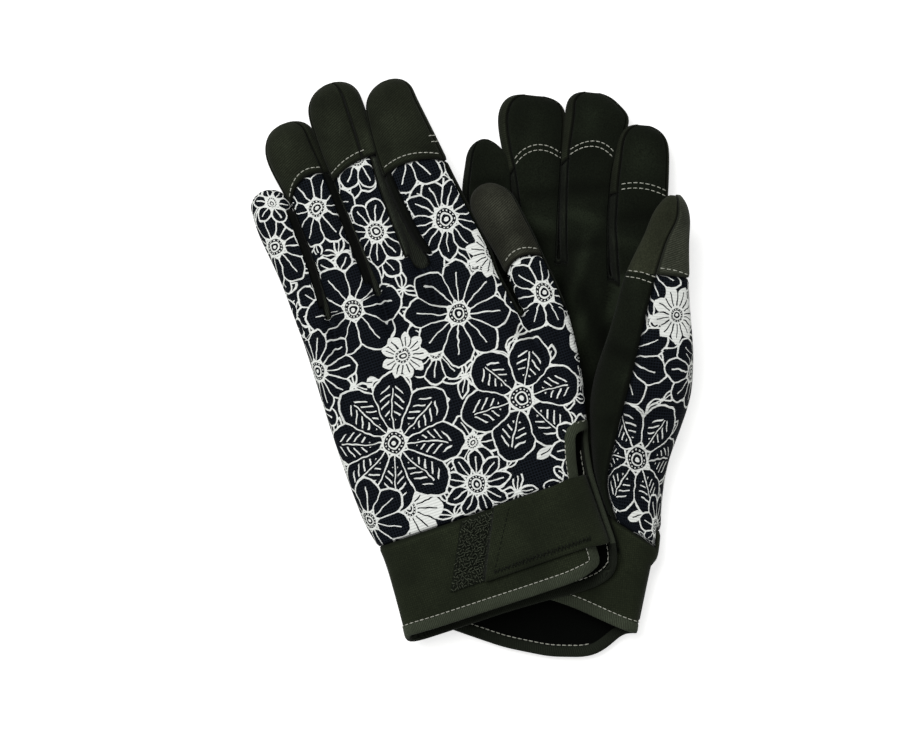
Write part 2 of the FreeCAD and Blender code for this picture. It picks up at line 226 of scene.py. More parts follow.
def rootSpots(digit):
    (leftU, leftV), (rightU, rightV) = digit["root"]
    shares = [(ringShape(step)[0] + 1) / 2 for step in overSteps]
    return [(leftU + (rightU - leftU) * f, leftV + (rightV - leftV) * f) for f in shares]


handShape = {
    "wristSeam": 38,  # the hem's bow fades out here
    "rim": 0.7,  # how far the rolled edge stands out past the last column
    "gusset": 1,  # width of the wall between thumb and index finger
    "edge": 9, "roll": 2.3,  # the layers part over this width near the edge, and how square they do
    "crotch": 0.3,  # how far the wall between two fingers stands out
    "fingerFlat": (95, 136),  # the hand turns from flat to the fingers' arcs between these heights
    "thumbFlat": (80, 113),
}


def handNet(glove, hand, digits):
    # the hand from hem to knuckles, then every digit from its own root ring
    net = {"points": [], "faces": [], "labels": []}
    rows, wrist, slit, labels = hand["rows"], hand["wrist"], hand["slit"], hand["labels"]
    rimOut, gusset, crotch = handShape["rim"], handShape["gusset"], handShape["crotch"]
    fork = len(rows) - 1
    thumb = digits.get("thumb")
    thumbSpots = rootSpots(thumb) if thumb else []
    spots = [spot for name in fingerNames for spot in rootSpots(digits[name])]
    ringArcs = [ringShape(step)[1] for step in overSteps]
    arcs = ringArcs * len(fingerNames)
    first, last = spots[0][0], spots[-1][0]
    shares = [(u - first) / (last - first) for u, v in spots]

    def level(u, v, arc, turning, edges):
        # share of the thickness: nearly flat in the hand, an arc at the root of each digit
        inset = min(u - edges[0], edges[1] - u)
        roll = handShape["roll"]
        apart = (1 - (1 - min(max(inset, 0) / handShape["edge"], 1)) ** roll) ** (1 / roll)
        flat = 0.5 + 0.5 * apart
        return flat + (arc - flat) * ease((v - turning[0]) / (turning[1] - turning[0]))

    def layer(under):
        key = "Under" if under else ""
        innerEdge = hand.get("fingerEdge" + key, hand["fingerEdge"])
        outerEdge = hand.get("outerEdge" + key, hand["outerEdge"])
        table, thumbTable = [], []

        def bowed(u, rowV):
            return along(hand["hem" + key], u) * max(0, 1 - rowV / handShape["wristSeam"])

        def place(u, v, share):
            top, bottom = hand["high"](u, v), hand["low"](u, v)
            return addPoint(net, u, v, bottom + (top - bottom) * (1 - share if under else share))

        for row, rowV in enumerate(rows):
            left = along(hand["leftEdge"], rowV)
            inner, outer = along(innerEdge, rowV), along(outerEdge, rowV)
            line = []
            for f, arc in zip(shares, arcs):
                u = left + rimOut + (inner - left - rimOut) * f
                v = rowV + bowed(u, rowV)
                line.append(place(u, v, level(u, v, arc, handShape["fingerFlat"], (left, outer))))
            table.append(line)
            line = []
            for i, arc in enumerate(ringArcs if thumb and (under or row >= slit) else ()):
                f = i / (len(ringArcs) - 1)
                u, v = inner + gusset + (outer - rimOut - inner - gusset) * f, rowV
                if row == fork:
                    u, v = thumbSpots[i]
                elif row == fork - 1:
                    v += (thumbSpots[i][1] - rows[fork]) * 0.5
                v += bowed(u, rowV)
                line.append(place(u, v, level(u, v, arc, handShape["thumbFlat"], (left, outer))))
            thumbTable.append(line)
        base = table[-1]
        for i in range(1, hand["knuckleRows"] + 1):
            t = i / hand["knuckleRows"]
            line = []
            for start, (u1, v1), arc in zip(base, spots, arcs):
                u0, v0 = net["points"][start][:2]
                u, v = u0 + (u1 - u0) * t, v0 + (v1 - v0) * t
                edges = (along(hand["leftEdge"], v), along(innerEdge, rows[fork]) + gusset)
                share = arc if t == 1 else level(u, v, arc, handShape["fingerFlat"], edges)
                line.append(place(u, v, share))
            table.append(line)
        return table, thumbTable

    def sidePoint(a, b, out):
        pa, pb = net["points"][a], net["points"][b]
        return addPoint(net, (pa[0] + pb[0]) / 2 + out, (pa[1] + pb[1]) / 2, (pa[2] + pb[2]) / 2)

    def rimFaces(row, end, upper, lower, side, upperLabel, lowerLabel):
        addFace(net, (upper[row][end], upper[row + 1][end], side[row + 1], side[row]), upperLabel)
        addFace(net, (side[row], side[row + 1], lower[row + 1][end], lower[row][end]), lowerLabel)

    def rowFaces(lowRow, highRow, label):
        for c in range(len(lowRow) - 1):
            addFace(net, (lowRow[c], lowRow[c + 1], highRow[c + 1], highRow[c]), label)

    def rootRing(topPoints, underPoints):
        ring = [None] * ringSteps
        for step, top, under in zip(overSteps, topPoints, underPoints):
            ring[step], ring[-step] = top, under
        return ring

    top, topThumb = layer(False)
    under, underThumb = layer(True)
    lastRow = len(top) - 1
    leftSide = [sidePoint(top[r][0], under[r][0], -rimOut) for r in range(lastRow + 1)]
    for r in range(lastRow):
        part = 0 if r < wrist else 1
        rowFaces(top[r], top[r + 1], labels["top"][part])
        rowFaces(under[r], under[r + 1], labels["under"][part])
        rimFaces(r, 0, top, under, leftSide, labels["rim"][part], labels["rim"][part])
    start = 0
    if thumb:  # the thumb side of the hand, past the gusset
        for r in range(fork):
            for table, inner, side in ((topThumb, top, "top"), (underThumb, under, "under")):
                if table[r] and table[r + 1]:
                    lowRow, highRow = [inner[r][-1]] + table[r], [inner[r + 1][-1]] + table[r + 1]
                    rowFaces(lowRow, highRow, labels[side][0 if r < wrist else 1])
        outerSide = {r: sidePoint(topThumb[r][-1], underThumb[r][-1], rimOut) for r in range(slit, fork + 1)}
        for r in range(slit, fork):
            rimFaces(r, -1, topThumb, underThumb, outerSide, labels["thumbRim"][1], labels["under"][1])
        start = fork
    rightSide = {r: sidePoint(top[r][-1], under[r][-1], rimOut) for r in range(start, lastRow + 1)}
    for r in range(start, lastRow):
        label = labels["thumbRim"][0 if r < wrist else 2]
        rimFaces(r, -1, top, under, rightSide, label, label)

    columns = [slice(i * len(overSteps), (i + 1) * len(overSteps)) for i in range(len(fingerNames))]
    rings = [rootRing(top[-1][part], under[-1][part]) for part in columns]
    for ring in rings:
        ring[half] = leftSide[-1] if ring is rings[0] else sidePoint(ring[half - 1], ring[half + 1], -crotch)
        ring[0] = rightSide[lastRow] if ring is rings[-1] else sidePoint(ring[1], ring[-1], crotch)
    for a, b, name in zip(rings, rings[1:], fingerNames):  # the walls of the crotches
        label = "%s_%s_fourchettes" % (glove, name)
        addFace(net, (a[1], b[half - 1], b[half], a[0]), label)
        addFace(net, (a[0], b[half], b[half + 1], a[-1]), label)
    for ring, name in zip(rings, fingerNames):
        addDigit(net, ring, glove, name, digits[name], hand)
    if thumb:
        ring = rootRing(topThumb[fork], underThumb[fork])
        ring[0] = outerSide[fork]
        ring[half] = sidePoint(ring[half - 1], ring[half + 1], -crotch)
        addFace(net, (top[fork][-1], ring[half - 1], ring[half], rightSide[fork]), labels["under"][1])
        addFace(net, (rightSide[fork], ring[half], ring[half + 1], under[fork][-1]), labels["under"][1])
        addDigit(net, ring, glove, "thumb", thumb, hand)
    return net


def kindOf(label):
    # panels of one kind that meet are a single piece of cloth, so no seam is drawn in between them
    part = label.split("_", 1)[1]
    for word, kind in (("cuff", "band"), ("fourchettes", "side"), ("|side", "capSide"), ("_cap", "cap")):
        if word in part:
            return kind
    return "print" if part.endswith("back") or part == "back_panel" else "palm"


def skinNormals(skin):
    points, faces = skin["points"], skin["faces"]
    facing = np.cross(points[faces[:, 2]] - points[faces[:, 0]], points[faces[:, 3]] - points[faces[:, 1]])
    normals = np.zeros_like(points)
    for corner in range(4):
        np.add.at(normals, faces[:, corner], facing)
    return normals / np.maximum(np.linalg.norm(normals, axis=1), 1e-12)[:, None]


def smoothSkin(net):
    # two rounds of subdivision for the whole glove at once, so that its panels meet without a step
    mesh = bpy.data.meshes.new("skinCage")
    mesh.from_pydata(net["points"], [], net["faces"])
    names = sorted(set(net["labels"]))
    mesh.polygons.foreach_set("material_index", [names.index(n) for n in net["labels"]])
    work = bmesh.new()
    work.from_mesh(mesh)
    bmesh.ops.recalc_face_normals(work, faces=work.faces)
    work.to_mesh(mesh)
    work.free()
    for name in names:
        mesh.materials.append(None)
    cage = bpy.data.objects.new("skinCage", mesh)
    bpy.context.scene.collection.objects.link(cage)
    smoother = cage.modifiers.new("smooth", "SUBSURF")
    smoother.levels = smoother.render_levels = 2
    bpy.context.view_layer.update()
    found = cage.evaluated_get(bpy.context.evaluated_depsgraph_get()).to_mesh()
    points = np.zeros(len(found.vertices) * 3)
    found.vertices.foreach_get("co", points)
    faces = np.array([list(p.vertices) for p in found.polygons])
    labels = np.zeros(len(found.polygons), int)
    found.polygons.foreach_get("material_index", labels)
    bpy.data.objects.remove(cage)
    skin = {"points": points.reshape(-1, 3), "faces": faces, "labels": labels, "names": names}
    skin["normals"] = skinNormals(skin)
    kinds = sorted({kindOf(name) for name in names})
    meeting = np.zeros((len(skin["points"]), len(kinds)))
    for i, name in enumerate(names):
        meeting[faces[labels == i].ravel(), kinds.index(kindOf(name))] = 1
    skin["seams"] = meeting.sum(axis=1) > 1
    skin["folds"] = np.zeros(len(skin["points"]))  # how far each point stands up from the smooth shape
    return skin


foldShape = {
    "bow": 0.12,  # how far a fold bends sideways towards its ends
    "upward": 1.6,  # cloth that faces less than straight up still takes the whole fold
}


def crease(skin, folds):
    # soft folds: (u, v, way in degrees, length, width, height) on the side that faces up
    points, up = skin["points"], np.clip(skin["normals"][:, 2] * foldShape["upward"], 0, 1)
    for u, v, way, length, width, height in folds:
        c, s = math.cos(math.radians(way)), math.sin(math.radians(way))
        du, dv = points[:, 0] - u, points[:, 1] - v
        onward, across = du * c + dv * s, -du * s + dv * c
        bend = foldShape["bow"] * onward**2 / length
        shape = np.exp(-(((across - bend) / width) ** 2)) * np.exp(-((onward / length * 2) ** 4))
        points[:, 2] += height * shape * up
        # the added heights are also kept as the skin's folds, which the materials paint as light: raised folds
        # lighter, hollows darker
        skin["folds"] += height * shape * up
    skin["normals"] = skinNormals(skin)


sewing = {
    "thick": 1.1,  # the cloth with its lining
    "gap": 0.3,  # the two cloths part a little over a seam
    "capLift": 0.45,  # the fingertip caps lie on the cloth below
    "tuck": 0.55, "capTuck": 0.35,  # how deep each kind is drawn in at its seams
    "seamShade": -1.7, "rollPaintedHighlight": 0.12,  # painted shade on the seams, painted highlight on the rolls beside them
    "printDown": 0.8,  # the print goes on down the sides, drawn together to this share
}
sewn = {"left": ([], []), "right": ([], [])}  # outer cloth of each glove: points, faces


def clothPiece(name, points, faces, glove, sharpest=80):
    # a mesh given in a glove's flat frame, moved to its place; keeps the flat coordinates for the print
    mesh = bpy.data.meshes.new(name)
    mesh.from_pydata([Vector(p) for p in points], [], faces)
    mesh.update()
    flat = mesh.attributes.new("cloth", "FLOAT_VECTOR", "POINT")
    normals = np.array([v.normal for v in mesh.vertices])
    spread = np.array(points, float)
    top = spread[:, 2].max()
    spread[:, :2] += normals[:, :2] * (top - spread[:, 2:3]) * sewing["printDown"]
    flat.data.foreach_set("vector", spread.astype(np.float32).ravel())
    mesh.transform(Matrix.Scale(mm, 4) @ places[glove])
    mesh.shade_smooth()
    mesh.set_sharp_from_angle(angle=math.radians(sharpest))
    piece = bpy.data.objects.new(name, mesh)
    bpy.context.scene.collection.objects.link(piece)
    return piece


def fillSlots(piece, inside):
    # two empty material slots, and which of them each face takes
    piece.data.materials.append(None)
    piece.data.materials.append(None)
    piece.data.polygons.foreach_set("material_index", inside)


def panel(skin, glove, label, name, lift, tuck):
    # one sewn panel of the skin as a closed piece of cloth, its edge drawn in where it is seamed
    own = skin["labels"] == skin["names"].index(label)
    used, inverse = np.unique(skin["faces"][own], return_inverse=True)
    faces = inverse.reshape(-1, 4)
    quads, count = faces.tolist(), len(used)
    points, normals, seamed = skin["points"][used], skin["normals"][used], skin["seams"][used]
    edges = set()
    for face in quads:
        edges.update((face[i], face[(i + 1) % 4]) for i in range(4))
    rim = [(a, b) for a, b in edges if (b, a) not in edges]
    # the fold attribute holds painted light: seams are set to painted shade, the cloth beside them gets a painted
    # highlight, and folds keep their height
    inward, folds = np.zeros((count, 3)), skin["folds"][used].copy()
    for face in faces:
        if seamed[face].any():
            inward[face] += points[face].mean(axis=0) - points[face]
            folds[face[~seamed[face]]] += sewing["rollPaintedHighlight"]
    inward /= np.maximum(np.linalg.norm(inward, axis=1), 1e-6)[:, None]
    folds[seamed] = sewing["seamShade"]
    outer = points + normals * np.where(seamed, lift - tuck, lift)[:, None]
    outer[seamed] += inward[seamed] * sewing["gap"]
    inner = points - normals * sewing["thick"]
    known, knownFaces = sewn[glove]
    knownFaces += [[i + len(known) for i in face] for face in quads]
    known += outer.tolist()
    closed = quads + [[i + count for i in reversed(face)] for face in quads]
    closed += [[b, a, a + count, b + count] for a, b in rim]
    piece = clothPiece(name, np.concatenate([outer, inner]), closed, glove, 50)
    shade = piece.data.attributes.new("fold", "FLOAT", "POINT")
    shade.data.foreach_set("value", np.concatenate([folds, folds]).astype(np.float32))
    # slot 1, on the inside faces, takes the lining's black painted shade
    fillSlots(piece, [0] * len(quads) + [1] * len(quads) + [0] * len(rim))
    return piece


# Left glove, back up. A digit's edges are (v, u) lines, "round" is where its tip starts to narrow, "cap" the
# height of the cap's lower edge, "arch" how far that edge bows, "flare" how far the underside bulges.
# "strips", "palm", "patch" and "capTop" are the ring steps that each panel covers.

below = range(9, 15)
leftDigits = {
    "little": {
        "root": ((-43.6, 131), (-30.4, 139)),
        "left": [(131, -43.9), (150, -44.3), (160, -44.6), (172, -46), (182, -47.2), (192, -47)],
        "right": [(139, -30), (160, -28.6), (182, -28.8), (192, -29.2)],
        "tip": (-38.8, 199.2), "round": 8.5, "blunt": 2.1, "cap": 188, "arch": 0, "flare": (0, 1.5),
        "strips": (15, 0, 1), "palm": below, "bareTip": True,
    },
    "ring": {
        "root": ((-29.2, 139), (-6.4, 141.5)),
        "left": [(139, -29), (165, -28.4), (190, -29.6), (205, -33), (214, -33.8)],
        "right": [(141, -6.2), (165, -7.4), (190, -8), (205, -8.8), (214, -9.8)],
        "tip": (-20.4, 223.4), "round": 10, "blunt": 2.2, "cap": 199, "arch": 6.6, "bowSide": 0.3,
        "flare": (-1.5, 1.5),
        "strips": (7, 8, 15, 0, 1), "palm": below, "patch": below, "capTop": range(2, 7),
    },
    "middle": {
        "root": ((-5.4, 141.5), (13.4, 147)),
        "left": [(141, -5.4), (170, -7.6), (196, -9.8), (210, -10.4), (218, -10)],
        "right": [(147, 13.4), (170, 12.4), (184, 12.2), (196, 13), (207, 14.2), (218, 14.2)],
        "tip": (3.2, 233.2), "round": 11, "blunt": 2.2, "cap": 198, "arch": 2.4, "bowSide": 0.6,
        "flare": (-1.5, 3.5),
        "strips": (7, 8, 15, 0, 1), "palm": below, "patch": below, "capTop": range(3, 7),
    },
    "index": {
        "root": ((18.6, 147), (46.4, 133)),
        "left": [(147, 18.6), (160, 15.2), (177, 13), (189, 12.2), (205, 12.6), (216, 14.2)],
        "right": [(133, 48), (155, 45), (177, 41.8), (205, 38.2), (216, 36.6)],
        "tip": (27, 226.4), "round": 10.5, "blunt": 2.2, "cap": 190, "arch": 3.8, "bowSide": -0.15,
        "flare": (-4, 0),
        "strips": (6, 7, 8), "palm": (*below, 15, 0), "patch": below, "capTop": range(1, 7),
    },
    "thumb": {
        "root": ((50, 115), (69, 110)),
        "left": [(114, 49.6), (132, 48.9), (145, 46.6), (157, 43.6)],
        "right": [(109, 69), (120, 68.4), (132, 67), (145, 65.8), (157, 63.8)],
        "tip": (52.2, 170.3), "round": 11, "blunt": 2.1, "cap": 136, "arch": 4.4, "bowSide": 0.1,
        "strips": (), "palm": (*below, 15, 0), "patch": (*below, 15, 0), "capTop": range(1, 9),
    },
}
leftHand = {
    "rows": (1, 8, 15, 23, 31, 38, 44.5, 51, 57, 67, 79, 91, 102, 113),
    "wrist": 5, "slit": 8, "knuckleRows": 4,  # the cuff and the bare slit end at these rows
    "leftEdge": [
        (0, -43.4), (19, -41.8), (36, -40.9), (41, -42.8), (50, -44.4), (66, -45), (85, -45.2),
        (110, -44.5), (131, -43.9),
    ],
    "fingerEdge": [(0, 47), (10, 47), (38, 49.6), (44, 50.7), (51, 52.7), (57, 54.6), (80, 52.5), (113, 49)],
    "fingerEdgeUnder": [(0, 48), (38, 50), (57, 55), (80, 52.5), (113, 49)],
    "outerEdge": [
        (0, 43.5), (3, 46.5), (8, 48), (38, 50.7), (51, 54.1), (57, 60.4), (83, 67), (109, 69), (113, 69),
    ],
    "outerEdgeUnder": [
        (0, 52.5), (4, 55.6), (9, 56.4), (20, 56), (38, 56.4), (49, 58.2), (57, 60.4), (83, 67), (109, 69),
        (113, 69),
    ],
    "hem": [(-44, -2.8), (-30, -3.6), (20, -4.2), (38, -4.2), (42, -3), (45, -1)],
    "hemUnder": [
        (-44, -5.8), (-38, -6.8), (-25, -7), (1, -7.2), (18, -8), (35, -9.4), (43, -9.4), (49, -7.4),
        (53, -3.6),
    ],
    "high": lambda u, v: lay["leftThick"],
    "low": lambda u, v: 0.2,
    "labels": {
        "top": ("left_cuff_back", "left_back_panel"),
        "under": ("left_cuff_palm", "left_palm_panel"),
        "rim": ("left_cuff_back", "left_back_panel"),
        "thumbRim": ("left_cuff_palm", "left_back_panel", "left_palm_panel"),
    },
}
leftSkin = smoothSkin(handNet("left", leftHand, leftDigits))
crease(
    leftSkin,
    (
        (-30, 128, 62, 26, 3, -0.8), (-6, 131, 78, 24, 3, -0.8), (16, 134, 100, 24, 3.4, -0.9),
        (47, 104, 118, 26, 3, -0.9), (60, 96, 70, 18, 2.6, -0.6), (-36, 100, 84, 30, 3, -0.5),
        (20, 88, 30, 36, 6, 0.5), (-14, 70, -20, 34, 6, 0.5), (40, 52, 64, 20, 4, -0.5),
        (-36, 154, 100, 16, 2.4, -0.5), (-16, 172, 10, 14, 2, -0.4), (4, 182, 172, 14, 2, -0.4),
        (28, 176, 12, 18, 2.2, -0.5), (58, 132, 20, 14, 2, -0.5),
        # the broad raised folds on the finger caps, and the first fold of the next line on the thumb cap, are
        # mostly painted highlights through the fold attribute
        (-23, 210, 88, 22, 5, 0.3), (-1, 215, 88, 30, 5, 0.45), (25, 207, 86, 34, 7, 0.4),
        (57, 150, 98, 36, 4.5, 0.6), (12.6, 182, 90, 70, 2.4, 0.9), (-9.4, 182, 92, 60, 2.4, -0.9),
    ),
)
print("left glove shaped:", len(leftSkin["points"]), "points")

# Right glove, palm up: its top side is the palm, and its side strips show beside every finger.

strips, palmSteps, whole = (6, 7, 8, 15, 0), range(1, 6), range(ringSteps)
rightDigits = {
    "little": {
        "root": ((-43, 138), (-27.2, 150)),
        "left": [(138, -43), (150, -45), (170, -48), (189, -49.8), (200, -49.2)],
        "right": [(150, -27), (170, -27.2), (189, -27.4), (200, -29)],
        "tip": (-41.4, 209.8), "round": 12, "blunt": 1.8, "cap": 195, "arch": 0,
        "strips": strips, "palm": palmSteps,
    },
    "ring": {
        "root": ((-25.6, 150), (-5.6, 161)),
        "left": [(150, -25.6), (181, -26), (196, -30.2), (207, -34.4), (218, -37.4)],
        "right": [(161, -5.4), (181, -6.6), (196, -6.8), (218, -7.6)],
        "tip": (-22.6, 230.2), "round": 10, "blunt": 2.8, "cap": 206, "arch": 8, "bowSide": 0.3,
        "flare": (0, 1.5), "strips": strips, "palm": palmSteps, "patch": palmSteps, "capTop": whole,
    },
    "middle": {
        "root": ((-4.2, 161), (17.6, 156)),
        "left": [(160, -4.2), (181, -6.6), (208, -8.6), (223, -8.2)],
        "right": [(155, 17.6), (181, 15), (200, 14.8), (210, 16.2), (223, 19.8)],
        "tip": (2.2, 234), "round": 12, "blunt": 2.4, "cap": 209.8, "arch": 7.4, "bowSide": 0.12,
        "flare": (-1.5, 2), "strips": strips, "palm": palmSteps, "patch": palmSteps, "capTop": whole,
    },
    "index": {
        "root": ((18.6, 156), (42.6, 138)),
        "left": [(155, 18.6), (176, 14.8), (196, 13.8), (212, 14.4)],
        "right": [(138, 43.6), (160, 41.4), (176, 39.6), (196, 39), (212, 37.8)],
        "tip": (25.4, 222), "round": 11, "blunt": 2.3, "cap": 193.7, "arch": 3, "bowSide": 0.05,
        "flare": (-3, 0), "strips": strips, "palm": palmSteps, "patch": palmSteps, "capTop": whole,
    },
}


rightLie = {
    "sink": 2.2, "sinkFrom": 165, "sinkOver": 60,  # the fingertips sink where nothing lies on them
    "heldFrom": 8, "heldOver": 20,  # but not on the little finger's side
    "foot": 0.3, "tabs": 3.3, "tabsEnd": 37, "tabsOver": 14,  # the folded tab lies under the cuff
    "fingerThick": 9, "palmExtra": 5, "palmEnd": 128, "palmOver": 30,  # the palm is thicker than a finger
    "downFrom": 150,  # nearer the wrist than this the underside goes down to the table
}


def rightTop(u, v):
    sink = max(0, v - rightLie["sinkFrom"]) / rightLie["sinkOver"]
    held = max(0, -u - rightLie["heldFrom"]) / rightLie["heldOver"]
    return slopeHeight(u, v) - rightLie["sink"] * sink * max(0, 1 - held)


def rightLow(u, v):
    pastTabs = ease((v - rightLie["tabsEnd"]) / rightLie["tabsOver"])
    overTabs = rightLie["foot"] + rightLie["tabs"] * (1 - pastTabs)
    palm = rightLie["palmExtra"] * max(0, 1 - max(0, v - rightLie["palmEnd"]) / rightLie["palmOver"])
    low = rightTop(u, v) - rightLie["fingerThick"] - palm - max(0, rightLie["downFrom"] - v)
    return max(overTabs, low)


rightHand = {
    "rows": (2, 9, 16, 23, 31, 38, 47, 56, 65, 75, 85, 95, 105, 115),
    "wrist": 5, "slit": 0, "knuckleRows": 4,
    "leftEdge": [(0, -42), (38, -43), (138, -43)],
    "fingerEdge": [(0, 44), (12, 44.6), (38, 48), (60, 46), (115, 46)],
    "outerEdge": [(0, 44.7), (12, 45.3), (38, 48.7), (60, 46.7), (115, 46.7)],
    "hem": [(-43, 14), (-10, 15), (5, 14.5), (18, 11), (36, 4.5), (44, 2.5)],
    "hemUnder": [
        (-42, -2), (-36, -4), (-12, -10), (8, -12.2), (22, -11), (28, -9.4), (32.4, -6.2), (35.2, -2.4),
        (38, 1.6), (44, 2.4),
    ],
    "high": rightTop,
    "low": rightLow,
    "labels": {
        "top": ("right_cuff_palm", "right_palm_panel"),
        "under": ("right_cuff_back", "right_back_panel"),
        "rim": ("right_cuff_back", "right_back_panel"),
        "thumbRim": ("right_cuff_palm", "right_back_panel", "right_back_panel"),
    },
}
rightSkin = smoothSkin(handNet("right", rightHand, rightDigits))
crease(
    rightSkin,
    (
        (-3, 152, 88, 34, 3.4, -1.3), (5, 158, 80, 30, 3, 1.1), (-12, 142, 58, 40, 4.4, 1.2),
        (14, 136, 122, 40, 4, -1.4), (4, 124, 68, 36, 4, 1.3), (10, 104, 40, 30, 3.4, -1.2),
        (-6, 100, 96, 50, 5, -0.9), (22, 146, 70, 30, 3, 1.1), (10, 84, 30, 26, 3.4, 0.9),
        (-14, 188, 8, 20, 2.8, -0.8), (-16, 176, 172, 22, 3.4, 0.9), (-18, 166, 12, 18, 3, -0.7),
        (5, 192, 8, 20, 2.8, -0.8), (4, 180, 170, 20, 3.4, 0.9), (6, 168, 14, 18, 2.8, -0.8),
        (27, 182, 12, 22, 2.8, -0.8), (28, 170, 168, 22, 3.2, 0.9), (29, 160, 10, 20, 2.6, -0.7),
        (-38, 190, 8, 16, 2.6, -0.7), (-40, 176, 170, 16, 3, 0.8), (-22, 216, 88, 16, 6, 0.5),
        (3, 220, 90, 16, 6, 0.5), (26, 208, 90, 18, 6, 0.5),
    ),
)

# the thumb is folded over the palm: a tube from the cuff to its tip with a raised seam along it
rightThumb = {
    # v, left, seam, right, height over the slope, foot, how much higher the left side starts
    "rows": (
        (30, 36, 37, 45.6, 0.2, 3.6, 0),
        (36, 33, 36, 48.4, 0.7, 3.6, 2),
        (41.4, 30, 33, 50.4, 1.2, 3, 5),
        (46.6, 27, 30, 51, 1.9, 1.4, 6.4),
        (54, 23.6, 26, 51, 3, 0.4, 5.4),
        (62.6, 20.5, 23, 50, 4.6, 0.3, 3.6),
        (72, 18.4, 23.4, 50.2, 7, 0.3, 1),
        (81, 17, 24.4, 51.4, 9, 0.3, 0),
        (91, 15, 26, 54.2, 11, 0.3, 0),
        (101, 14, 27.6, 56.8, 12.2, 0.3, 0),
        (110, 14.6, 29, 58.2, 12.8, 0.6, 0),
        (118, 15.8, 30.4, 57.8, 13, 4, 0),
        (126, 17.8, 31.4, 57, 13, 12, 0),
        (134, 19.6, 32.6, 55.6, 12.8, 15.5, 0),
        (143, 21.2, 34, 53.8, 12.4, 16, 0),
        (152, 22.4, 35.6, 52.2, 12.2, 16.4, 0),
        (158, 23.8, 36.6, 51.4, 12.2, 16.6, 0),
        (166, 26.6, 38.2, 50.4, 12, 16.8, 0),
        (175, 30.4, 40.2, 49.4, 11.6, 17, 0),
    ),
    "tip": (41.8, 193.6), "blunt": 1.9, "tipRows": (0.62, 0.36, 0.16, 0.03),
    "tipRound": 8, "tipLeast": 0.4, "tipSeam": 0.42,
    "ridge": 1.2, "ridgeFrom": 50, "ridgeOver": 25,  # the raised seam grows over this length
    "slopeShare": 0.4,  # how much of the slope shows across the thumb
    "bandTop": {0: 57, 15: 57, 1: 53}, "bandElse": 49,  # where the cuff's band ends at each ring step
    "root": 127, "cap": 158,
}


def thumbPanel(step, v):
    palmSide = half / 2 <= step <= half
    if v <= rightThumb["bandTop"].get(step, rightThumb["bandElse"]):
        return "right_cuff_palm"
    if v <= rightThumb["root"]:
        return "right_palm_panel" if palmSide else "right_back_panel"
    if v > rightThumb["cap"] + 0.01:
        return "right_thumb_tip_patch" if palmSide else "right_thumb_cap"
    return "right_thumb_palm" if palmSide else "right_thumb_back"


def thumbNet():
    net = {"points": [], "faces": [], "labels": []}
    rows = [(*row, 1) for row in rightThumb["rows"]]
    lastV, left, seam, right, high, foot = rows[-1][:6]
    tipU, tipV = rightThumb["tip"]
    for share in rightThumb["tipRows"]:
        fromTip = (tipV - lastV) * share
        middle, wide = nearTip(left, right, tipU, share, rightThumb["blunt"])
        edges = middle - wide, middle + wide * rightThumb["tipSeam"], middle + wide
        rows.append((tipV - fromTip, *edges, high, foot, 0, tipHeight(fromTip, rightThumb)))
    ring = None
    for v, left, seam, right, high, foot, slant, tall in rows:
        above = []
        for step in range(ringSteps):
            x, z = ringShape(step)
            u = (left + right) / 2 + x * (right - left) / 2
            if 0 < step < half:
                u = seam + x * ((right - seam) if x > 0 else (seam - left))
            rowV = v - slant * (u - (left + right) / 2) / (right - left) * 2
            share = rightThumb["slopeShare"]
            top = slopeHeight(u * share + (left + right) / 2 * (1 - share), rowV) + high
            grown = ease((v - rightThumb["ridgeFrom"]) / rightThumb["ridgeOver"])
            ridge = rightThumb["ridge"] * grown * tall if step == half / 2 else 0
            above.append(addPoint(net, u, rowV, (top + foot) / 2 + (z - 0.5) * (top - foot) * tall + ridge))
        for step in range(ringSteps if ring else 0):
            addFace(net, ringFace(ring, above, step), thumbPanel(step, v))
        ring = above
    closeTip(net, ring, lambda step: thumbPanel(step, tipV))
    return net


thumbSkin = smoothSkin(thumbNet())
crease(
    thumbSkin,
    (
        (30, 122, 160, 30, 3, -0.9), (40, 112, 172, 30, 3, 0.7), (34, 96, 20, 30, 4, -0.8),
        (44, 80, 160, 24, 3, -0.6), (40, 66, 20, 24, 3, 0.5), (40, 138, 10, 22, 3, -0.5),
        (30, 148, 100, 26, 2.4, 0.4),
    ),
)
print("right glove shaped:", len(rightSkin["points"]) + len(thumbSkin["points"]), "points")


def goWith(piece, glove, body):
    # a piece sewn to the hand goes with the hand's body; any other piece has its place baked into its mesh
    if body == glove + "_hand":
        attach(piece, body)
    else:
        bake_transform(piece)


def pieceName(node, part):
    words = node.split("_")
    return words[0] + "".join(word.capitalize() for word in words[1:]) + part


bodies = frame["record"]["behaviour"]["bodies"]
clothPieces = []
for skin, glove in ((leftSkin, "left"), (rightSkin, "right"), (thumbSkin, "right")):
    for label in skin["names"]:
        node, _, side = label.partition("|")
        part = side.capitalize()
        if skin is thumbSkin and "thumb" not in node:
            part = "ByThumb"
        lift, tuck = 0, sewing["tuck"]
        if node.endswith("_cap"):
            lift, tuck = sewing["capLift"], sewing["capTuck"]
        piece = panel(skin, glove, label, pieceName(node, part), lift, tuck)
        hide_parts(node)
        goWith(piece, glove, next(body for body, nodes in bodies.items() if node in nodes))
        clothPieces.append((piece, node))


def surfaceOf(glove):
    points, faces = sewn[glove]
    return BVHTree.FromPolygons([Vector(p) for p in points], faces)


surfaces = {glove: surfaceOf(glove) for glove in sewn}
print("panels sewn:", len(clothPieces))

# bound hems and stitching

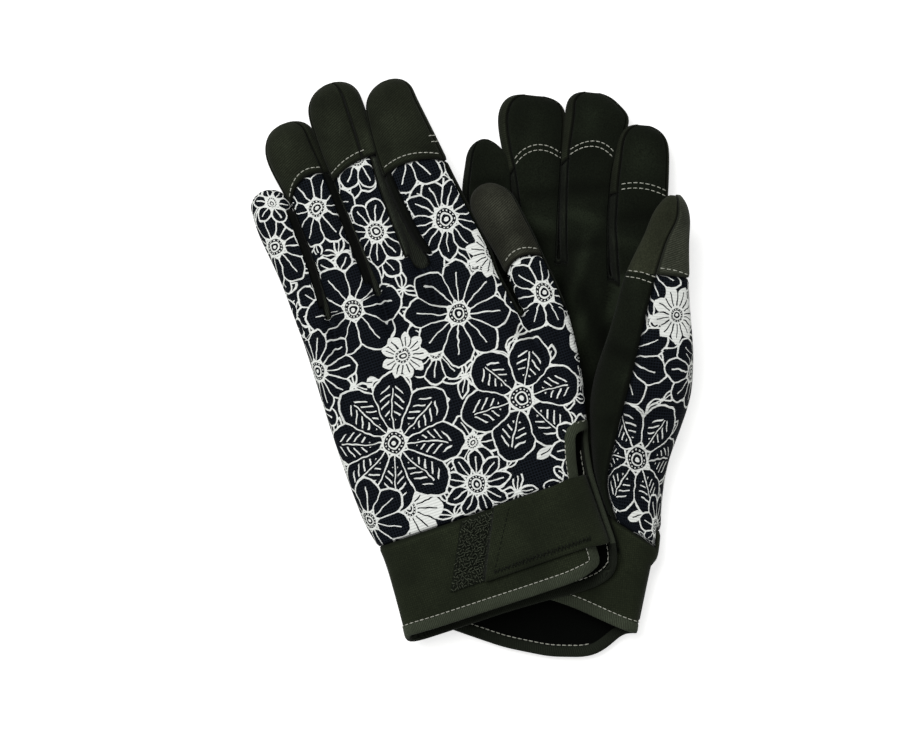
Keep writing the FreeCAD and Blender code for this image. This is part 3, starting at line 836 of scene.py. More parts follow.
binding = {
    "wide": 4.9, "thick": 2.3,
    "over": 0.5,  # how far the tape stands out past the raw edge
    "boxy": 0.62, "steps": 14,
    "unshadedFrom": 55.4,  # past this the thumb side's rim catches the light and gets no painted shade
    "unshadedSteps": range(4, 10),
    "pitch": 2.2,  # rings along the tape
    "paintedShadeBelow": -0.2,  # the tape gets painted shade where it faces down
}
stitch = {
    "long": 2, "wide": 0.44, "pitch": 2.35, "steps": 6,
    "inset": binding["wide"] - 0.3,  # the hem's row runs just inside the tape's edge
    "shape": ((-0.5, 0.35, -0.35), (-0.38, 0.85, 0), (0, 1, 0.12), (0.38, 0.85, 0), (0.5, 0.35, -0.35)),
}


def joinRings(points, faces, rings, closed=False):
    # adds a tube through equal rings of points, closed on itself or capped at both ends
    base, count = len(points), len(rings[0])
    for ring in rings:
        points += ring
    for i in range(len(rings) if closed else len(rings) - 1):
        low, high = base + i * count, base + (i + 1) % len(rings) * count
        for k in range(count):
            m = (k + 1) % count
            faces.append((low + k, low + m, high + m, high + k))
    if not closed:
        faces.append(tuple(base + k for k in reversed(range(count))))
        faces.append(tuple(range(len(points) - count, len(points))))


def runLengths(spots):
    lengths = [0]
    for a, b in zip(spots, spots[1:]):
        lengths.append(lengths[-1] + (b - a).length)
    return lengths


def sampled(table, lengths, at):
    # the rows of a table of points read off at the given lengths along it
    return np.stack([np.interp(at, lengths, column) for column in table.T], axis=-1)


def hemLoop(skin):
    # the open edge of a skin in order, with the direction into the cloth at every point
    edges = {}
    for face in skin["faces"].tolist():
        for i in range(4):
            edges[(face[i], face[(i + 1) % 4])] = face
    rim = {a: (b, face) for (a, b), face in edges.items() if (b, a) not in edges}
    loop = [next(iter(rim))]
    while rim[loop[-1]][0] != loop[0]:
        loop.append(rim[loop[-1]][0])
    points = skin["points"]
    spots = [Vector(points[i]) for i in loop]
    normals = [Vector(skin["normals"][i]) for i in loop]
    inward = [Vector(points[list(rim[i][1])].mean(axis=0)) - Vector(points[i]) for i in loop]
    return spots, normals, inward


def evened(spots, normals, inward, pitch):
    # the loop again at an even pitch, its directions smoothed and squared up
    lengths = runLengths(spots + spots[:1])
    count = round(lengths[-1] / pitch)
    at = np.linspace(0, lengths[-1], count, endpoint=False)

    def smoothed(vectors, rounds):
        table = sampled(np.array([*vectors, vectors[0]]), lengths, at)
        for _ in range(rounds):
            table = table * 0.5 + (np.roll(table, 1, 0) + np.roll(table, -1, 0)) * 0.25
        return table

    middles, ups, ins = smoothed(spots, 1), smoothed(normals, 3), smoothed(inward, 2)
    rows = []
    for i in range(count):
        tangent = Vector(middles[(i + 1) % count] - middles[i - 1]).normalized()
        up = Vector(ups[i])
        up = (up - tangent * up.dot(tangent)).normalized()
        into = tangent.cross(up)
        if into.dot(Vector(ins[i])) < 0:
            into.negate()
        rows.append((Vector(middles[i]), up, into))
    return rows


def bindHem(glove, rows):
    # folded tape over a raw edge, with painted shade on the side that faces down
    wide, thick, steps = binding["wide"], binding["thick"], binding["steps"]
    rings, lower = [], []
    for spot, up, into in rows:
        ring = []
        for k in range(steps):
            turn = 2 * math.pi * k / steps
            a = boxed(math.cos(turn), binding["boxy"]) * wide / 2 + wide / 2 - binding["over"]
            b = boxed(math.sin(turn), binding["boxy"]) * thick / 2 - sewing["thick"] / 2
            ring.append(spot + into * a + up * b)
            # painted shade: faces that face down take the dark copy of the tape
            lit = spot.x > binding["unshadedFrom"] and k in binding["unshadedSteps"]
            lower.append(int(up.z < binding["paintedShadeBelow"] and not lit))
        rings.append(ring)
    points, faces = [], []
    joinRings(points, faces, rings, True)
    piece = clothPiece(glove + "HemBinding", points, faces, glove, 70)
    fillSlots(piece, lower)
    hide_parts(glove + "_edge_binding")
    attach(piece, glove + "_hand")
    return piece


def stitchRow(name, glove, body, path, lift=0.1, pitch=stitch["pitch"], wide=stitch["wide"], inside=False):
    # short threads along a path of flat-frame points, each laid on the nearest cloth
    long = pitch * stitch["long"] / stitch["pitch"]
    steps = stitch["steps"]
    spots = [Vector(p) for p in path]
    table, lengths = np.array(spots), runLengths(spots)
    count = max(2, int(lengths[-1] / pitch))
    points, faces = [], []
    for i in range(count):
        middle = (i + 0.5) * lengths[-1] / count
        start, end = [Vector(sampled(table, lengths, at)) for at in (middle - long / 2, middle + long / 2)]
        centre, up = surfaces[glove].find_nearest((start + end) / 2)[:2]
        if inside:
            centre, up = centre - up * (sewing["thick"] + 0.1), -up
        line = end - start
        line = (line - up * line.dot(up)).normalized()
        across = line.cross(up)
        rings = []
        for share, size, height in stitch["shape"]:
            ring = []
            for k in range(steps):
                turn = 2 * math.pi * k / steps
                aside, above = math.cos(turn) * wide / 2 * size, math.sin(turn) * wide / 2 * size
                offset = across * aside + up * (above + lift + height)
                ring.append(centre + line * share * long + offset)
            rings.append(ring)
        joinRings(points, faces, rings)
    piece = clothPiece(name, points, faces, glove)
    goWith(piece, glove, body)
    return piece


def dropped(glove, path, aloft=60, belowEdge=5):
    # flat-frame points moved down onto the cloth, without those that miss its edge and land below
    found = []
    for point in path:
        hit = surfaces[glove].ray_cast(Vector((point[0], point[1], aloft)), Vector((0, 0, -1)))
        if hit[0] is not None:
            found.append(hit[0])
    top = max(point.z for point in found)
    return [point for point in found if point.z > top - belowEdge]


def arcPath(digit, above, reach):
    # a row of stitching a little above a cap's arched edge
    points = []
    for x in np.linspace(*reach, 25):
        v = digit["cap"] - digit["arch"] * (x - digit.get("bowSide", 0)) ** 2 + above
        left, right = along(digit["left"], v), along(digit["right"], v)
        points.append((left + (right - left) * (x + 1) / 2, v))
    return points


hems = {
    "left": evened(*hemLoop(leftSkin), binding["pitch"]),
    "right": evened(*hemLoop(rightSkin), binding["pitch"]),
}
bound = [bindHem(glove, rows) for glove, rows in hems.items()]
threads = []
for glove, rows in hems.items():
    path = [spot + into * stitch["inset"] + up * 0.05 for spot, up, into in rows + rows[:1]]
    for _ in range(5):  # rounds the row where it turns a corner
        middles = [(a + b * 2 + c) / 4 for a, b, c in zip(path, path[1:], path[2:])]
        path = [path[0]] + middles + [path[-1]]
    threads.append(stitchRow(glove + "HemStitch", glove, glove + "_hand", path, 0.15))
for glove, rows in hems.items():
    # the same row shows on the inner side of the lower layer, past the shorter upper one
    path = [spot + into * stitch["inset"] for spot, up, into in rows if up.z < -0.5]
    gap = max(range(len(path)), key=lambda i: (path[i] - path[i - 1]).length)
    path = [p for p in path[gap:] + path[:gap] if glove == "left" or p.x < 28.5]
    name = glove + "HemStitchInside"
    threads.append(stitchRow(name, glove, glove + "_hand", path[2:-2], inside=True))

leftArcs = {  # how far above the cap's edge, and from where to where across the digit
    "ring": (2.5, (-0.86, 0.72)), "middle": (3.2, (-0.88, 0.6)), "index": (3.1, (-0.86, 0.88)),
    "thumb": (3.1, (-0.75, 0.93)),
}
rightArcs = {"ring": (-0.66, 0.9), "middle": (-0.68, 0.84), "index": (-0.7, 0.94)}
straightRows = {
    "rightThumbPalmStitch1": ("right_thumb", ((24.2, 158.9), (30.9, 158.7), (37.2, 157))),
    "rightThumbPalmStitch2": ("right_thumb", ((23.4, 156.3), (29.7, 156), (35.6, 154.5))),
    "rightThumbCapStitch": ("right_thumb", ((38, 161.2), (44.8, 160.9), (50.6, 159.6))),
    "leftIndexSideStitch1": ("left_index", ((36.7, 197.8), (39.2, 197.3))),
    "leftIndexSideStitch2": ("left_index", ((37, 195), (39.5, 194.5))),
}
for name, (above, reach) in leftArcs.items():
    path = dropped("left", arcPath(leftDigits[name], above, reach))
    threads.append(stitchRow("left%sCapStitch" % name.capitalize(), "left", "left_" + name, path))
for name, reach in rightArcs.items():
    for row, above in enumerate((1.1, 3.4), 1):
        path = dropped("right", arcPath(rightDigits[name], above, reach))
        label = "right%sTipStitch%d" % (name.capitalize(), row)
        threads.append(stitchRow(label, "right", "right_%s_tip" % name, path))
for name, (body, corners) in straightRows.items():
    glove = body.split("_")[0]
    path = sampled(np.array(corners), range(len(corners)), np.linspace(0, len(corners) - 1, 17))
    threads.append(stitchRow(name, glove, body, dropped(glove, path)))
print("hems bound and stitched:", len(bound) + len(threads), "pieces")

# closure of each cuff: tab, loop patch and hook patch, all with the same slanted ends

closure = {
    "low": 9.4, "high": 36.6,  # lower and upper edge of the patches
    "shear": 14,  # how far the ends lean over that height
    "loops": {"left": (-17.6, 17), "right": (-18.6, 17)},
    "hooks": (-3.6, 11),
    "tab": (-1.6, 53.4),
    "tabThick": 1.2,
    "pilePitch": 1.25, "hiddenPitch": 1.5, "hookPitch": 2,
    "pileWide": 0.44, "hiddenWide": 0.34, "hookWide": 0.26, "yarnSides": 5,
    "scatter": 0.3,  # how far a tuft strays from its row
}
leftTabShape = {
    "low": 9.2, "dip": 1.2, "dipFrom": 0.8,  # lower edge, and how it dips towards the sewn end
    "tall": 28.6, "spread": 1.6, "spreadFrom": 0.6,  # height, and how it grows that way
    "height": 15.5, "sag": 0.5,  # what it lies at over the cuff
    "roll": 10.5, "fall": 7.6, "lip": 3,  # the sewn end rolls down over the edge of the cuff
    "lean": 0.4, "bunch": 1.25,  # slant of the sewn end, and how the mesh's columns crowd there
}
rightTabShape = {  # folded under the cuff: its sewn end rises to it
    "low": 10, "tall": 27, "height": 1.35, "end": 44.6, "lean": 2.8, "roll": 4, "rise": 2.6,
}
webShape = {
    "thick": 0.8, "steps": (6, 14),
    "height": 8.6, "sink": 2.6, "arch": 1.6,  # height at the foot, how far it sinks and its sides drop
    "taper": 0.5, "taperFrom": 0.8,
    "rightThick": 13.5,  # the right glove's height between the fingers
}
chance = random.Random(7)


def slab(name, glove, spot, across, up, thick):
    # a sheet of the given thickness below spot(a, b), rounded along its four edges
    grid = [[Vector(spot(a / across, b / up)) for b in range(up + 1)] for a in range(across + 1)]
    cells = [(a, b) for a in range(across + 1) for b in range(up + 1)]
    normals = {}
    for a, b in cells:
        onward = grid[min(a + 1, across)][b] - grid[max(a - 1, 0)][b]
        upward = grid[a][min(b + 1, up)] - grid[a][max(b - 1, 0)]
        normals[a, b] = onward.cross(upward).normalized()
        if normals[a, b].z < 0 and abs(onward.z) < onward.length * 0.99:
            normals[a, b].negate()
    points = [grid[a][b] - normals[a, b] * thick * layer for layer in (0, 1) for a, b in cells]
    faces, base = [], len(cells)

    def at(a, b):
        return a * (up + 1) + b

    for a in range(across):
        for b in range(up):
            corners = at(a, b), at(a + 1, b), at(a + 1, b + 1), at(a, b + 1)
            faces.append(corners)
            faces.append(tuple(base + i for i in reversed(corners)))
    edge = [(a, 0) for a in range(across)] + [(across, b) for b in range(up)]
    edge += [(a, up) for a in range(across, 0, -1)] + [(0, b) for b in range(up, 0, -1)]
    for i, (a, b) in enumerate(edge):
        before, after = edge[i - 1], edge[(i + 1) % len(edge)]
        tangent = (grid[after[0]][after[1]] - grid[before[0]][before[1]]).normalized()
        out = tangent.cross(normals[a, b]).normalized()
        points.append(grid[a][b] - normals[a, b] * thick / 2 + out * thick * 0.4)
    for i in range(len(edge)):
        j = (i + 1) % len(edge)
        a, b, middle, following = at(*edge[i]), at(*edge[j]), 2 * base + i, 2 * base + j
        faces.append((b, a, middle, following))
        faces.append((following, middle, base + a, base + b))
    return clothPiece(name, points, faces, glove)


def tufts(name, glove, spots, shape, wide):
    # many tiny bent yarns: shape gives each one's centre line from its foot
    askew = Vector((0.3, 0.9, 0.1))  # a direction that no yarn runs in
    turns = [2 * math.pi * k / closure["yarnSides"] for k in range(closure["yarnSides"])]
    points, faces = [], []
    for spot in spots:
        line = [Vector(p) for p in shape(*spot)]
        rings = []
        for i, at in enumerate(line):
            tangent = (line[min(i + 1, len(line) - 1)] - line[max(i - 1, 0)]).normalized()
            side = tangent.cross(askew).normalized()
            other = tangent.cross(side)
            rings.append([at + (side * math.cos(t) + other * math.sin(t)) * wide / 2 for t in turns])
        joinRings(points, faces, rings)
    return clothPiece(name, points, faces, glove)


def slant(u, b):
    return u + closure["shear"] * b, closure["low"] + (closure["high"] - closure["low"]) * b


def patchSpot(ends, height, inset=0):
    # a flat patch between slanted ends, drawn in a little at its lower and upper edge
    left, right = ends
    return lambda a, b: (*slant(left + (right - left) * a, inset + b * (1 - 4 * inset)), height)


def leftTabSpot(a, b):
    tab = leftTabShape
    left, right = closure["tab"][0] + closure["shear"] * b, closure["tab"][1] - tab["lean"] * b
    u = left + (right - left) * (1 - (1 - a) ** tab["bunch"])
    share = (u - left) / (right - left)
    dip = tab["dip"] * ease((share - tab["dipFrom"]) / (1 - tab["dipFrom"]))
    spread = tab["spread"] * ease((share - tab["spreadFrom"]) / (1 - tab["spreadFrom"]))
    fall = max(0, (u - right + tab["roll"]) / tab["roll"])
    height = tab["height"] - tab["sag"] * ease(share * 3)
    height -= tab["fall"] * (1 - math.sqrt(max(0, 1 - fall * fall)))
    return u, tab["low"] - dip + (tab["tall"] + spread) * b, height - tab["lip"] if a == 1 else height


def rightTabSpot(a, b):
    tab = rightTabShape
    left, right = closure["tab"][0] + closure["shear"] * b, tab["end"] + tab["lean"] * b
    u = left + (right - left) * a
    lift = max(0, (u - right + tab["roll"]) / tab["roll"])
    height = tab["height"] + tab["rise"] * (1 - math.sqrt(max(0, 1 - lift * lift)))
    return u, tab["low"] + tab["tall"] * b, height


def pileSpots(ends, pitch):
    # rows of feet set half a pitch over from each other, each a little astray
    left, right = ends
    spots, stray = [], closure["scatter"]
    rows = round((closure["high"] - closure["low"] - 1.2) / pitch)
    count = round((right - left - 1.2) / pitch)
    for row in range(rows + 1):
        for i in range(count + 1):
            share = (i + 0.5 * (row % 2)) / (count + 0.5)
            u, v = slant(left + 0.7 + (right - left - 1.4) * share, 0.03 + 0.94 * row / rows)
            spots.append((u + chance.uniform(-stray, stray), v + chance.uniform(-stray, stray)))
    return spots


def loopShape(height, up, size):
    def shape(u, v):
        lean, reach = chance.uniform(0, math.pi * 2), size * chance.uniform(0.7, 1.15)
        du, dv = math.cos(lean) * reach / 2, math.sin(lean) * reach / 2
        tall = up * chance.uniform(0.75, 1.1)
        tipU, tipV = chance.uniform(-0.25, 0.25), chance.uniform(-0.25, 0.25)
        foot, shoulder = height - 0.15 * up, height + tall * 0.55
        return (
            (u - du, v - dv, foot), (u - du * 1.2 + tipU * 0.5, v - dv * 1.2 + tipV * 0.5, shoulder),
            (u + tipU, v + tipV, height + tall),
            (u + du * 1.2 + tipU * 0.5, v + dv * 1.2 + tipV * 0.5, shoulder), (u + du, v + dv, foot),
        )
    return shape


def hookShape(height, up, reach=0.5):
    return lambda u, v: (
        (u, v, height - 0.1 * up), (u, v, height + up * 0.55), (u + reach * 0.4, v, height + up * 0.92),
        (u + reach, v, height + up * 0.8), (u + reach * 1.1, v, height + up * 0.45),
    )


closures = {"tab": [], "patch": [], "pile": [], "hooks": []}


def fasten(kind, piece, glove, body, node=None):
    if node:
        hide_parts(node)
    goWith(piece, glove, body)
    closures[kind].append(piece)


def crotchWeb(name, glove, body, foot, end, wide):
    # side cloth that closes the bottom of the gap between two fingers
    web, (footU, footV), (endU, endV) = webShape, foot, end

    def spot(a, b):
        narrow = 1 - web["taper"] * ease((b - web["taperFrom"]) / (1 - web["taperFrom"]))
        u = footU + (endU - footU) * b + (a - 0.5) * wide * narrow
        low = rightTop(u, footV) - web["rightThick"] if glove == "right" else leftHand["low"](u, footV)
        height = low + web["height"] - web["sink"] * ease(b * 2) - web["arch"] * abs(a - 0.5)
        return u, footV + (endV - footV) * b, height

    piece = slab(name, glove, spot, *web["steps"], web["thick"])
    goWith(piece, glove, body)
    webs[glove].append(piece)


leftLoops, rightLoops, hooks = closure["loops"]["left"], closure["loops"]["right"], closure["hooks"]
patch = slab("leftLoopPatch", "left", patchSpot(leftLoops, 13.45), 16, 12, 0.7)
fasten("patch", patch, "left", "left_hand", "left_loop_patch")
spots = pileSpots(leftLoops, closure["pilePitch"])
tabEnd = closure["tab"][0] + 0.5
visible = [s for s in spots if s[0] < tabEnd + closure["shear"] * (s[1] - 10) / 27]
hidden = [s for s in spots if s not in visible][::2]
pile = tufts("leftLoopPile", "left", visible, loopShape(13.4, 1.1, 1.05), closure["pileWide"])
fasten("pile", pile, "left", "left_hand")
pile = tufts("leftLoopPileUnderTab", "left", hidden, loopShape(13.4, 0.55, 1.1), closure["hiddenWide"])
fasten("pile", pile, "left", "left_hand")
leftTab = slab("leftClosureTab", "left", leftTabSpot, 40, 12, closure["tabThick"])
fasten("tab", leftTab, "left", "left_tab", "left_closure_tab")
patch = slab("leftHookPatch", "left", patchSpot(hooks, 14.35, 0.01), 8, 10, 0.25)
fasten("hooks", patch, "left", "left_tab", "left_hook_patch")
hookSpots = pileSpots(hooks, closure["hookPitch"])
tiny = tufts("leftHooks", "left", hookSpots, hookShape(14.12, -0.42), closure["hookWide"])
fasten("hooks", tiny, "left", "left_tab")

webs = {"left": [], "right": []}
crotchWeb("leftWebMiddleIndex", "left", "left_middle", (16, 145), (12.6, 178), 6.6)
crotchWeb("leftWebRingMiddle", "left", "left_ring", (-5.9, 140), (-8, 176), 4)
crotchWeb("leftWebLittleRing", "left", "left_little", (-29.8, 137.5), (-28.6, 168), 4)
crotchWeb("rightWebLittleRing", "right", "right_hand", (-26.3, 150), (-27.2, 197), 5)
crotchWeb("rightWebRingMiddle", "right", "right_hand", (-4.9, 159), (-6.8, 204), 4.6)
crotchWeb("rightWebMiddleIndex", "right", "right_hand", (18.1, 154), (14.6, 192), 4.4)

# the right cuff's closure is under it, between the cuff and the table
patch = slab("rightLoopPatch", "right", patchSpot(rightLoops, 3.5), 16, 12, 0.5)
fasten("patch", patch, "right", "right_hand", "right_loop_patch")
spots = pileSpots((rightLoops[0], -5), closure["hiddenPitch"])
pile = tufts("rightLoopPile", "right", spots, loopShape(3.05, -0.75, 1.1), closure["hiddenWide"])
fasten("pile", pile, "right", "right_hand")
tab = slab("rightClosureTab", "right", rightTabSpot, 30, 12, closure["tabThick"])
fasten("tab", tab, "right", "right_tab", "right_closure_tab")
patch = slab("rightHookPatch", "right", patchSpot(hooks, 1.85, 0.01), 8, 10, 0.45)
fasten("hooks", patch, "right", "right_tab", "right_hook_patch")
tiny = tufts("rightHooks", "right", hookSpots, hookShape(1.8, 0.45), closure["hookWide"])
fasten("hooks", tiny, "right", "right_tab")

# dark stitching holds the tab: a row beside its free end and a zigzag along its lower edge. The tab's own
# surface joins the cloth first, so that the threads lie on it.
points, faces = sewn["left"]
faces += [[i + len(points) for i in p.vertices] for p in leftTab.data.polygons]
points += [places["left"].inverted() @ (v.co / mm) for v in leftTab.data.vertices]
surfaces["left"] = surfaceOf("left")
row = dropped("left", [(2.6 + 15.8 * i / 12, 11 + 25.4 * i / 12) for i in range(13)])
darkThreads = [stitchRow("leftTabStitch", "left", "left_tab", row, 0.05)]
tabTop = leftTabSpot(0.5, 0.5)[2] - 0.1
zigzag = [(3 + 0.8 * i, 10.6 + (2 + 0.6 * min(i / 20, 1)) * (i % 2), tabTop) for i in range(56)]
darkThreads.append(stitchRow("leftTabZigzag", "left", "left_tab", zigzag, 0.08, 1.8, 0.62))
print("closures made:", sum(len(v) for v in closures.values()), "pieces")


# materials


def addNode(tree, kind, *inputs, **settings):
    # kind may end in its operation, as in "Math ADD". Inputs fill the sockets in order, or by name from one
    # dictionary: a node gives its first output, (node, name) another, and None leaves the socket alone.
    kind, _, operation = kind.partition(" ")
    made = tree.nodes.new(kind if "Node" in kind else "ShaderNode" + kind)
    if operation:
        made.operation = operation
    for key, value in settings.items():
        setattr(made, key, value)
    named = inputs[0].items() if inputs and isinstance(inputs[0], dict) else enumerate(inputs)
    for socket, value in named:
        if isinstance(value, bpy.types.Node):
            value = value, 0
        if isinstance(value, tuple) and isinstance(value[0], bpy.types.Node):
            tree.links.new(value[0].outputs[value[1]], made.inputs[socket])
        elif value is not None:
            made.inputs[socket].default_value = value
    return made


def colour(code):
    # sRGB hex to linear
    parts = [int(code[i : i + 2], 16) / 255 for i in (1, 3, 5)]
    return (*[c / 12.92 if c <= 0.04045 else ((c + 0.055) / 1.055) ** 2.4 for c in parts], 1)


def newMaterial(name, roughness, **sockets):
    material = bpy.data.materials.new(name)
    material.use_nodes = True
    tree = material.node_tree
    shader = tree.nodes["Principled BSDF"]
    shader.inputs["Roughness"].default_value = roughness
    for socket, value in sockets.items():
        shader.inputs[socket.replace("_", " ")].default_value = value
    return material, tree, shader


def finishWith(tree, shader, base, height, depth):
    # base colour, and the weave as a bump of the given depth in millimetres
    tree.links.new(base.outputs[0], shader.inputs["Base Color"])
    bump = addNode(tree, "Bump", {"Strength": 1.0, "Distance": depth * mm, "Height": height})
    tree.links.new(bump.outputs[0], shader.inputs["Normal"])


waveUnit = 3.183  # bands that a wave texture draws in one unit at scale 1


def bands(pitch, waver, detail, finer):
    # socket values of a wave texture with its bands this many millimetres apart
    return {"Scale": 1 / pitch / waveUnit, "Distortion": waver, "Detail": detail, "Detail Scale": finer}


printed = {
    "ink": "#f0f3ee", "ground": "#000103", "groundHigh": "#222831",
    "line": 0.38,  # half the width of a printed line
    "rib": 1.25,  # the cloth's ribs are 0.8 apart, drawn a little coarser so that they show
    "drift": (0.09, 2.0, 3.2), "shake": (0.34, 0.0, 0.8),  # how lines wander: scale, detail, reach
    "strokesFrom": 24.0,  # strokes fill the petals of flowers above this radius
    "strokePitch": 3.6, "strokeShare": 0.23, "strokeLean": 0.9,
    "strokeClear": (0.42, 1.1),  # they stop short of the petal's edge and of its midrib
    "ribReach": 0.45,
    "beads": 14, "beadShare": 0.4,
    "rings": (0.5, 0.75, 0.2),  # radius of a heart's inner ring, beads and dot
    "scatter": (
        # spacing, petals, petal width, heart, size, share filled in: leaves, then small flowers
        (17, 2.0, 0.5, 0.05, 0.44, 0.9),
        (30, 5.0, 0.85, 0.24, 0.36, 0.93),
    ),
    "flowers": (
        # across, up, radius, petals, petal width, heart, turn, filled
        (24, 122, 23, 8, 0.75, 0.2, 0.3, 0),
        (-18, 138, 21, 6, 0.95, 0.2, 0.1, 0),
        (-42, 118, 18, 9, 0.7, 0.24, 0.2, 0),
        (8, 50, 15, 9, 0.6, 0.28, 0.1, 0),
        (-20, 78, 31, 8, 0.7, 0.16, 0.3, 0),
        (38, 78, 27, 6, 0.85, 0.19, 0.0, 0),
        (-42, 50, 19, 7, 0.8, 0.22, 0.5, 0),
        (32, 162, 18, 9, 0.7, 0.26, 0.4, 0),
        (-42, 174, 18, 7, 0.8, 0.22, 0.2, 0),
        (-19, 184, 17, 6, 0.95, 0.22, 0.1, 0),
        (2, 166, 15, 8, 0.75, 0.26, 0.3, 0),
        (26, 194, 18, 6, 0.9, 0.22, 0.0, 0),
        (62, 118, 17, 7, 0.85, 0.24, 0.5, 0),
        (48, 142, 12, 9, 0.6, 0.3, 0.1, 1),
        (4, 198, 13, 6, 0.9, 0.26, 0.2, 0),
        (56, 50, 14, 7, 0.8, 0.26, 0.6, 0),
        (-4, 112, 10, 9, 0.6, 0.34, 0.2, 1),
        (-36, 193, 10, 6, 0.8, 0.26, 0.4, 0),
    ),
}


def inkFlower():
    # one printed flower over what is printed below it: lens-shaped petals round a ringed heart
    tree = bpy.data.node_groups.new("inkFlower", "ShaderNodeTree")
    for name in ("Below", "Radius", "Petals", "Width", "Heart", "Turn", "Filled"):
        tree.interface.new_socket(name, in_out="INPUT", socket_type="NodeSocketFloat")
    for name in ("Cloth", "Centre"):
        tree.interface.new_socket(name, in_out="INPUT", socket_type="NodeSocketVector")
    tree.interface.new_socket("Print", in_out="OUTPUT", socket_type="NodeSocketFloat")
    line = printed["line"]
    given = addNode(tree, "NodeGroupInput")
    radius, heartShare = (given, "Radius"), (given, "Heart")
    away = addNode(tree, "VectorMath SUBTRACT", (given, "Cloth"), (given, "Centre"))
    parts = addNode(tree, "SeparateXYZ", away)
    flat = addNode(tree, "CombineXYZ", (parts, "X"), (parts, "Y"))
    reach = addNode(tree, "VectorMath LENGTH", flat), "Value"
    angle = addNode(tree, "Math ARCTAN2", (parts, "Y"), (parts, "X"))
    turned = addNode(tree, "Math ADD", angle, (given, "Turn"))
    # the plane is folded into one petal's sector, its midrib along the first axis
    sector = addNode(tree, "Math DIVIDE", 2 * math.pi, (given, "Petals"))
    steps = addNode(tree, "Math DIVIDE", turned, sector)
    folded = addNode(tree, "Math SUBTRACT", steps, addNode(tree, "Math ROUND", steps))
    inner = addNode(tree, "Math MULTIPLY", folded, sector)
    alongPetal = addNode(tree, "Math MULTIPLY", reach, addNode(tree, "Math COSINE", inner))
    signedSide = addNode(tree, "Math MULTIPLY", reach, addNode(tree, "Math SINE", inner))
    side = addNode(tree, "Math ABSOLUTE", signedSide)
    # each edge of a petal is an arc of the same radius, and depth is negative inside it
    heart = addNode(tree, "Math MULTIPLY", radius, heartShare)
    halfLong = addNode(tree, "Math MULTIPLY", addNode(tree, "Math SUBTRACT", radius, heart), 0.5)
    middle = addNode(tree, "Math ADD", heart, halfLong)
    wide = addNode(tree, "Math MULTIPLY", halfLong, (given, "Width"))
    longSquared = addNode(tree, "Math POWER", halfLong, 2.0)
    wideSquared = addNode(tree, "Math POWER", wide, 2.0)
    squares = addNode(tree, "Math ADD", longSquared, wideSquared)
    bow = addNode(tree, "Math DIVIDE", squares, addNode(tree, "Math MULTIPLY", wide, 2.0))
    across = addNode(tree, "Math ADD", side, addNode(tree, "Math SUBTRACT", bow, wide))
    lengthways = addNode(tree, "Math SUBTRACT", alongPetal, middle)
    toBow = addNode(tree, "VectorMath LENGTH", addNode(tree, "CombineXYZ", lengthways, across)), "Value"
    depth = addNode(tree, "Math SUBTRACT", toBow, bow)
    inside = addNode(tree, "Math LESS_THAN", depth, line)
    rim = addNode(tree, "Math COMPARE", depth, 0.0, line)
    # a line parts two petals that overlap
    halfSector = addNode(tree, "Math MULTIPLY", sector, 0.5)
    left = addNode(tree, "Math SUBTRACT", halfSector, addNode(tree, "Math ABSOLUTE", inner))
    toNext = addNode(tree, "Math MULTIPLY", addNode(tree, "Math SINE", left), reach)
    nearNext = addNode(tree, "Math LESS_THAN", toNext, line * 0.75)
    parting = addNode(tree, "Math MULTIPLY", nearNext, inside)
    # veins: a midrib, and in the large flowers strokes slanting off it
    midrib = addNode(tree, "Math LESS_THAN", side, line * 0.7)
    ribEnd = addNode(tree, "Math MULTIPLY", halfLong, printed["ribReach"])
    rib = addNode(tree, "Math MULTIPLY", midrib, addNode(tree, "Math LESS_THAN", lengthways, ribEnd))
    fromEdge, fromRib = printed["strokeClear"]
    lean = addNode(tree, "Math MULTIPLY_ADD", side, printed["strokeLean"], alongPetal)
    strokeStep = addNode(tree, "Math DIVIDE", lean, printed["strokePitch"])
    strokePlace = addNode(tree, "Math FRACT", strokeStep)
    strokes = addNode(tree, "Math LESS_THAN", strokePlace, printed["strokeShare"])
    clear = addNode(tree, "Math MULTIPLY", wide, -fromEdge)
    strokeArea = addNode(tree, "Math MULTIPLY", strokes, addNode(tree, "Math LESS_THAN", depth, clear))
    large = addNode(tree, "Math GREATER_THAN", radius, printed["strokesFrom"])
    offRib = addNode(tree, "Math GREATER_THAN", addNode(tree, "Math MULTIPLY", side, large), fromRib)
    veins = addNode(tree, "Math MAXIMUM", rib, addNode(tree, "Math MULTIPLY", strokeArea, offRib))
    # petals are drawn in outline, or filled in with their veins left dark
    outlined = addNode(tree, "Math MAXIMUM", addNode(tree, "Math MAXIMUM", rim, parting), veins)
    cuts = addNode(tree, "Math MAXIMUM", parting, veins)
    solid = addNode(tree, "Math SUBTRACT", inside, cuts, use_clamp=True)
    petals = addNode(tree, "Mix", {"Factor": (given, "Filled"), "A": outlined, "B": solid})
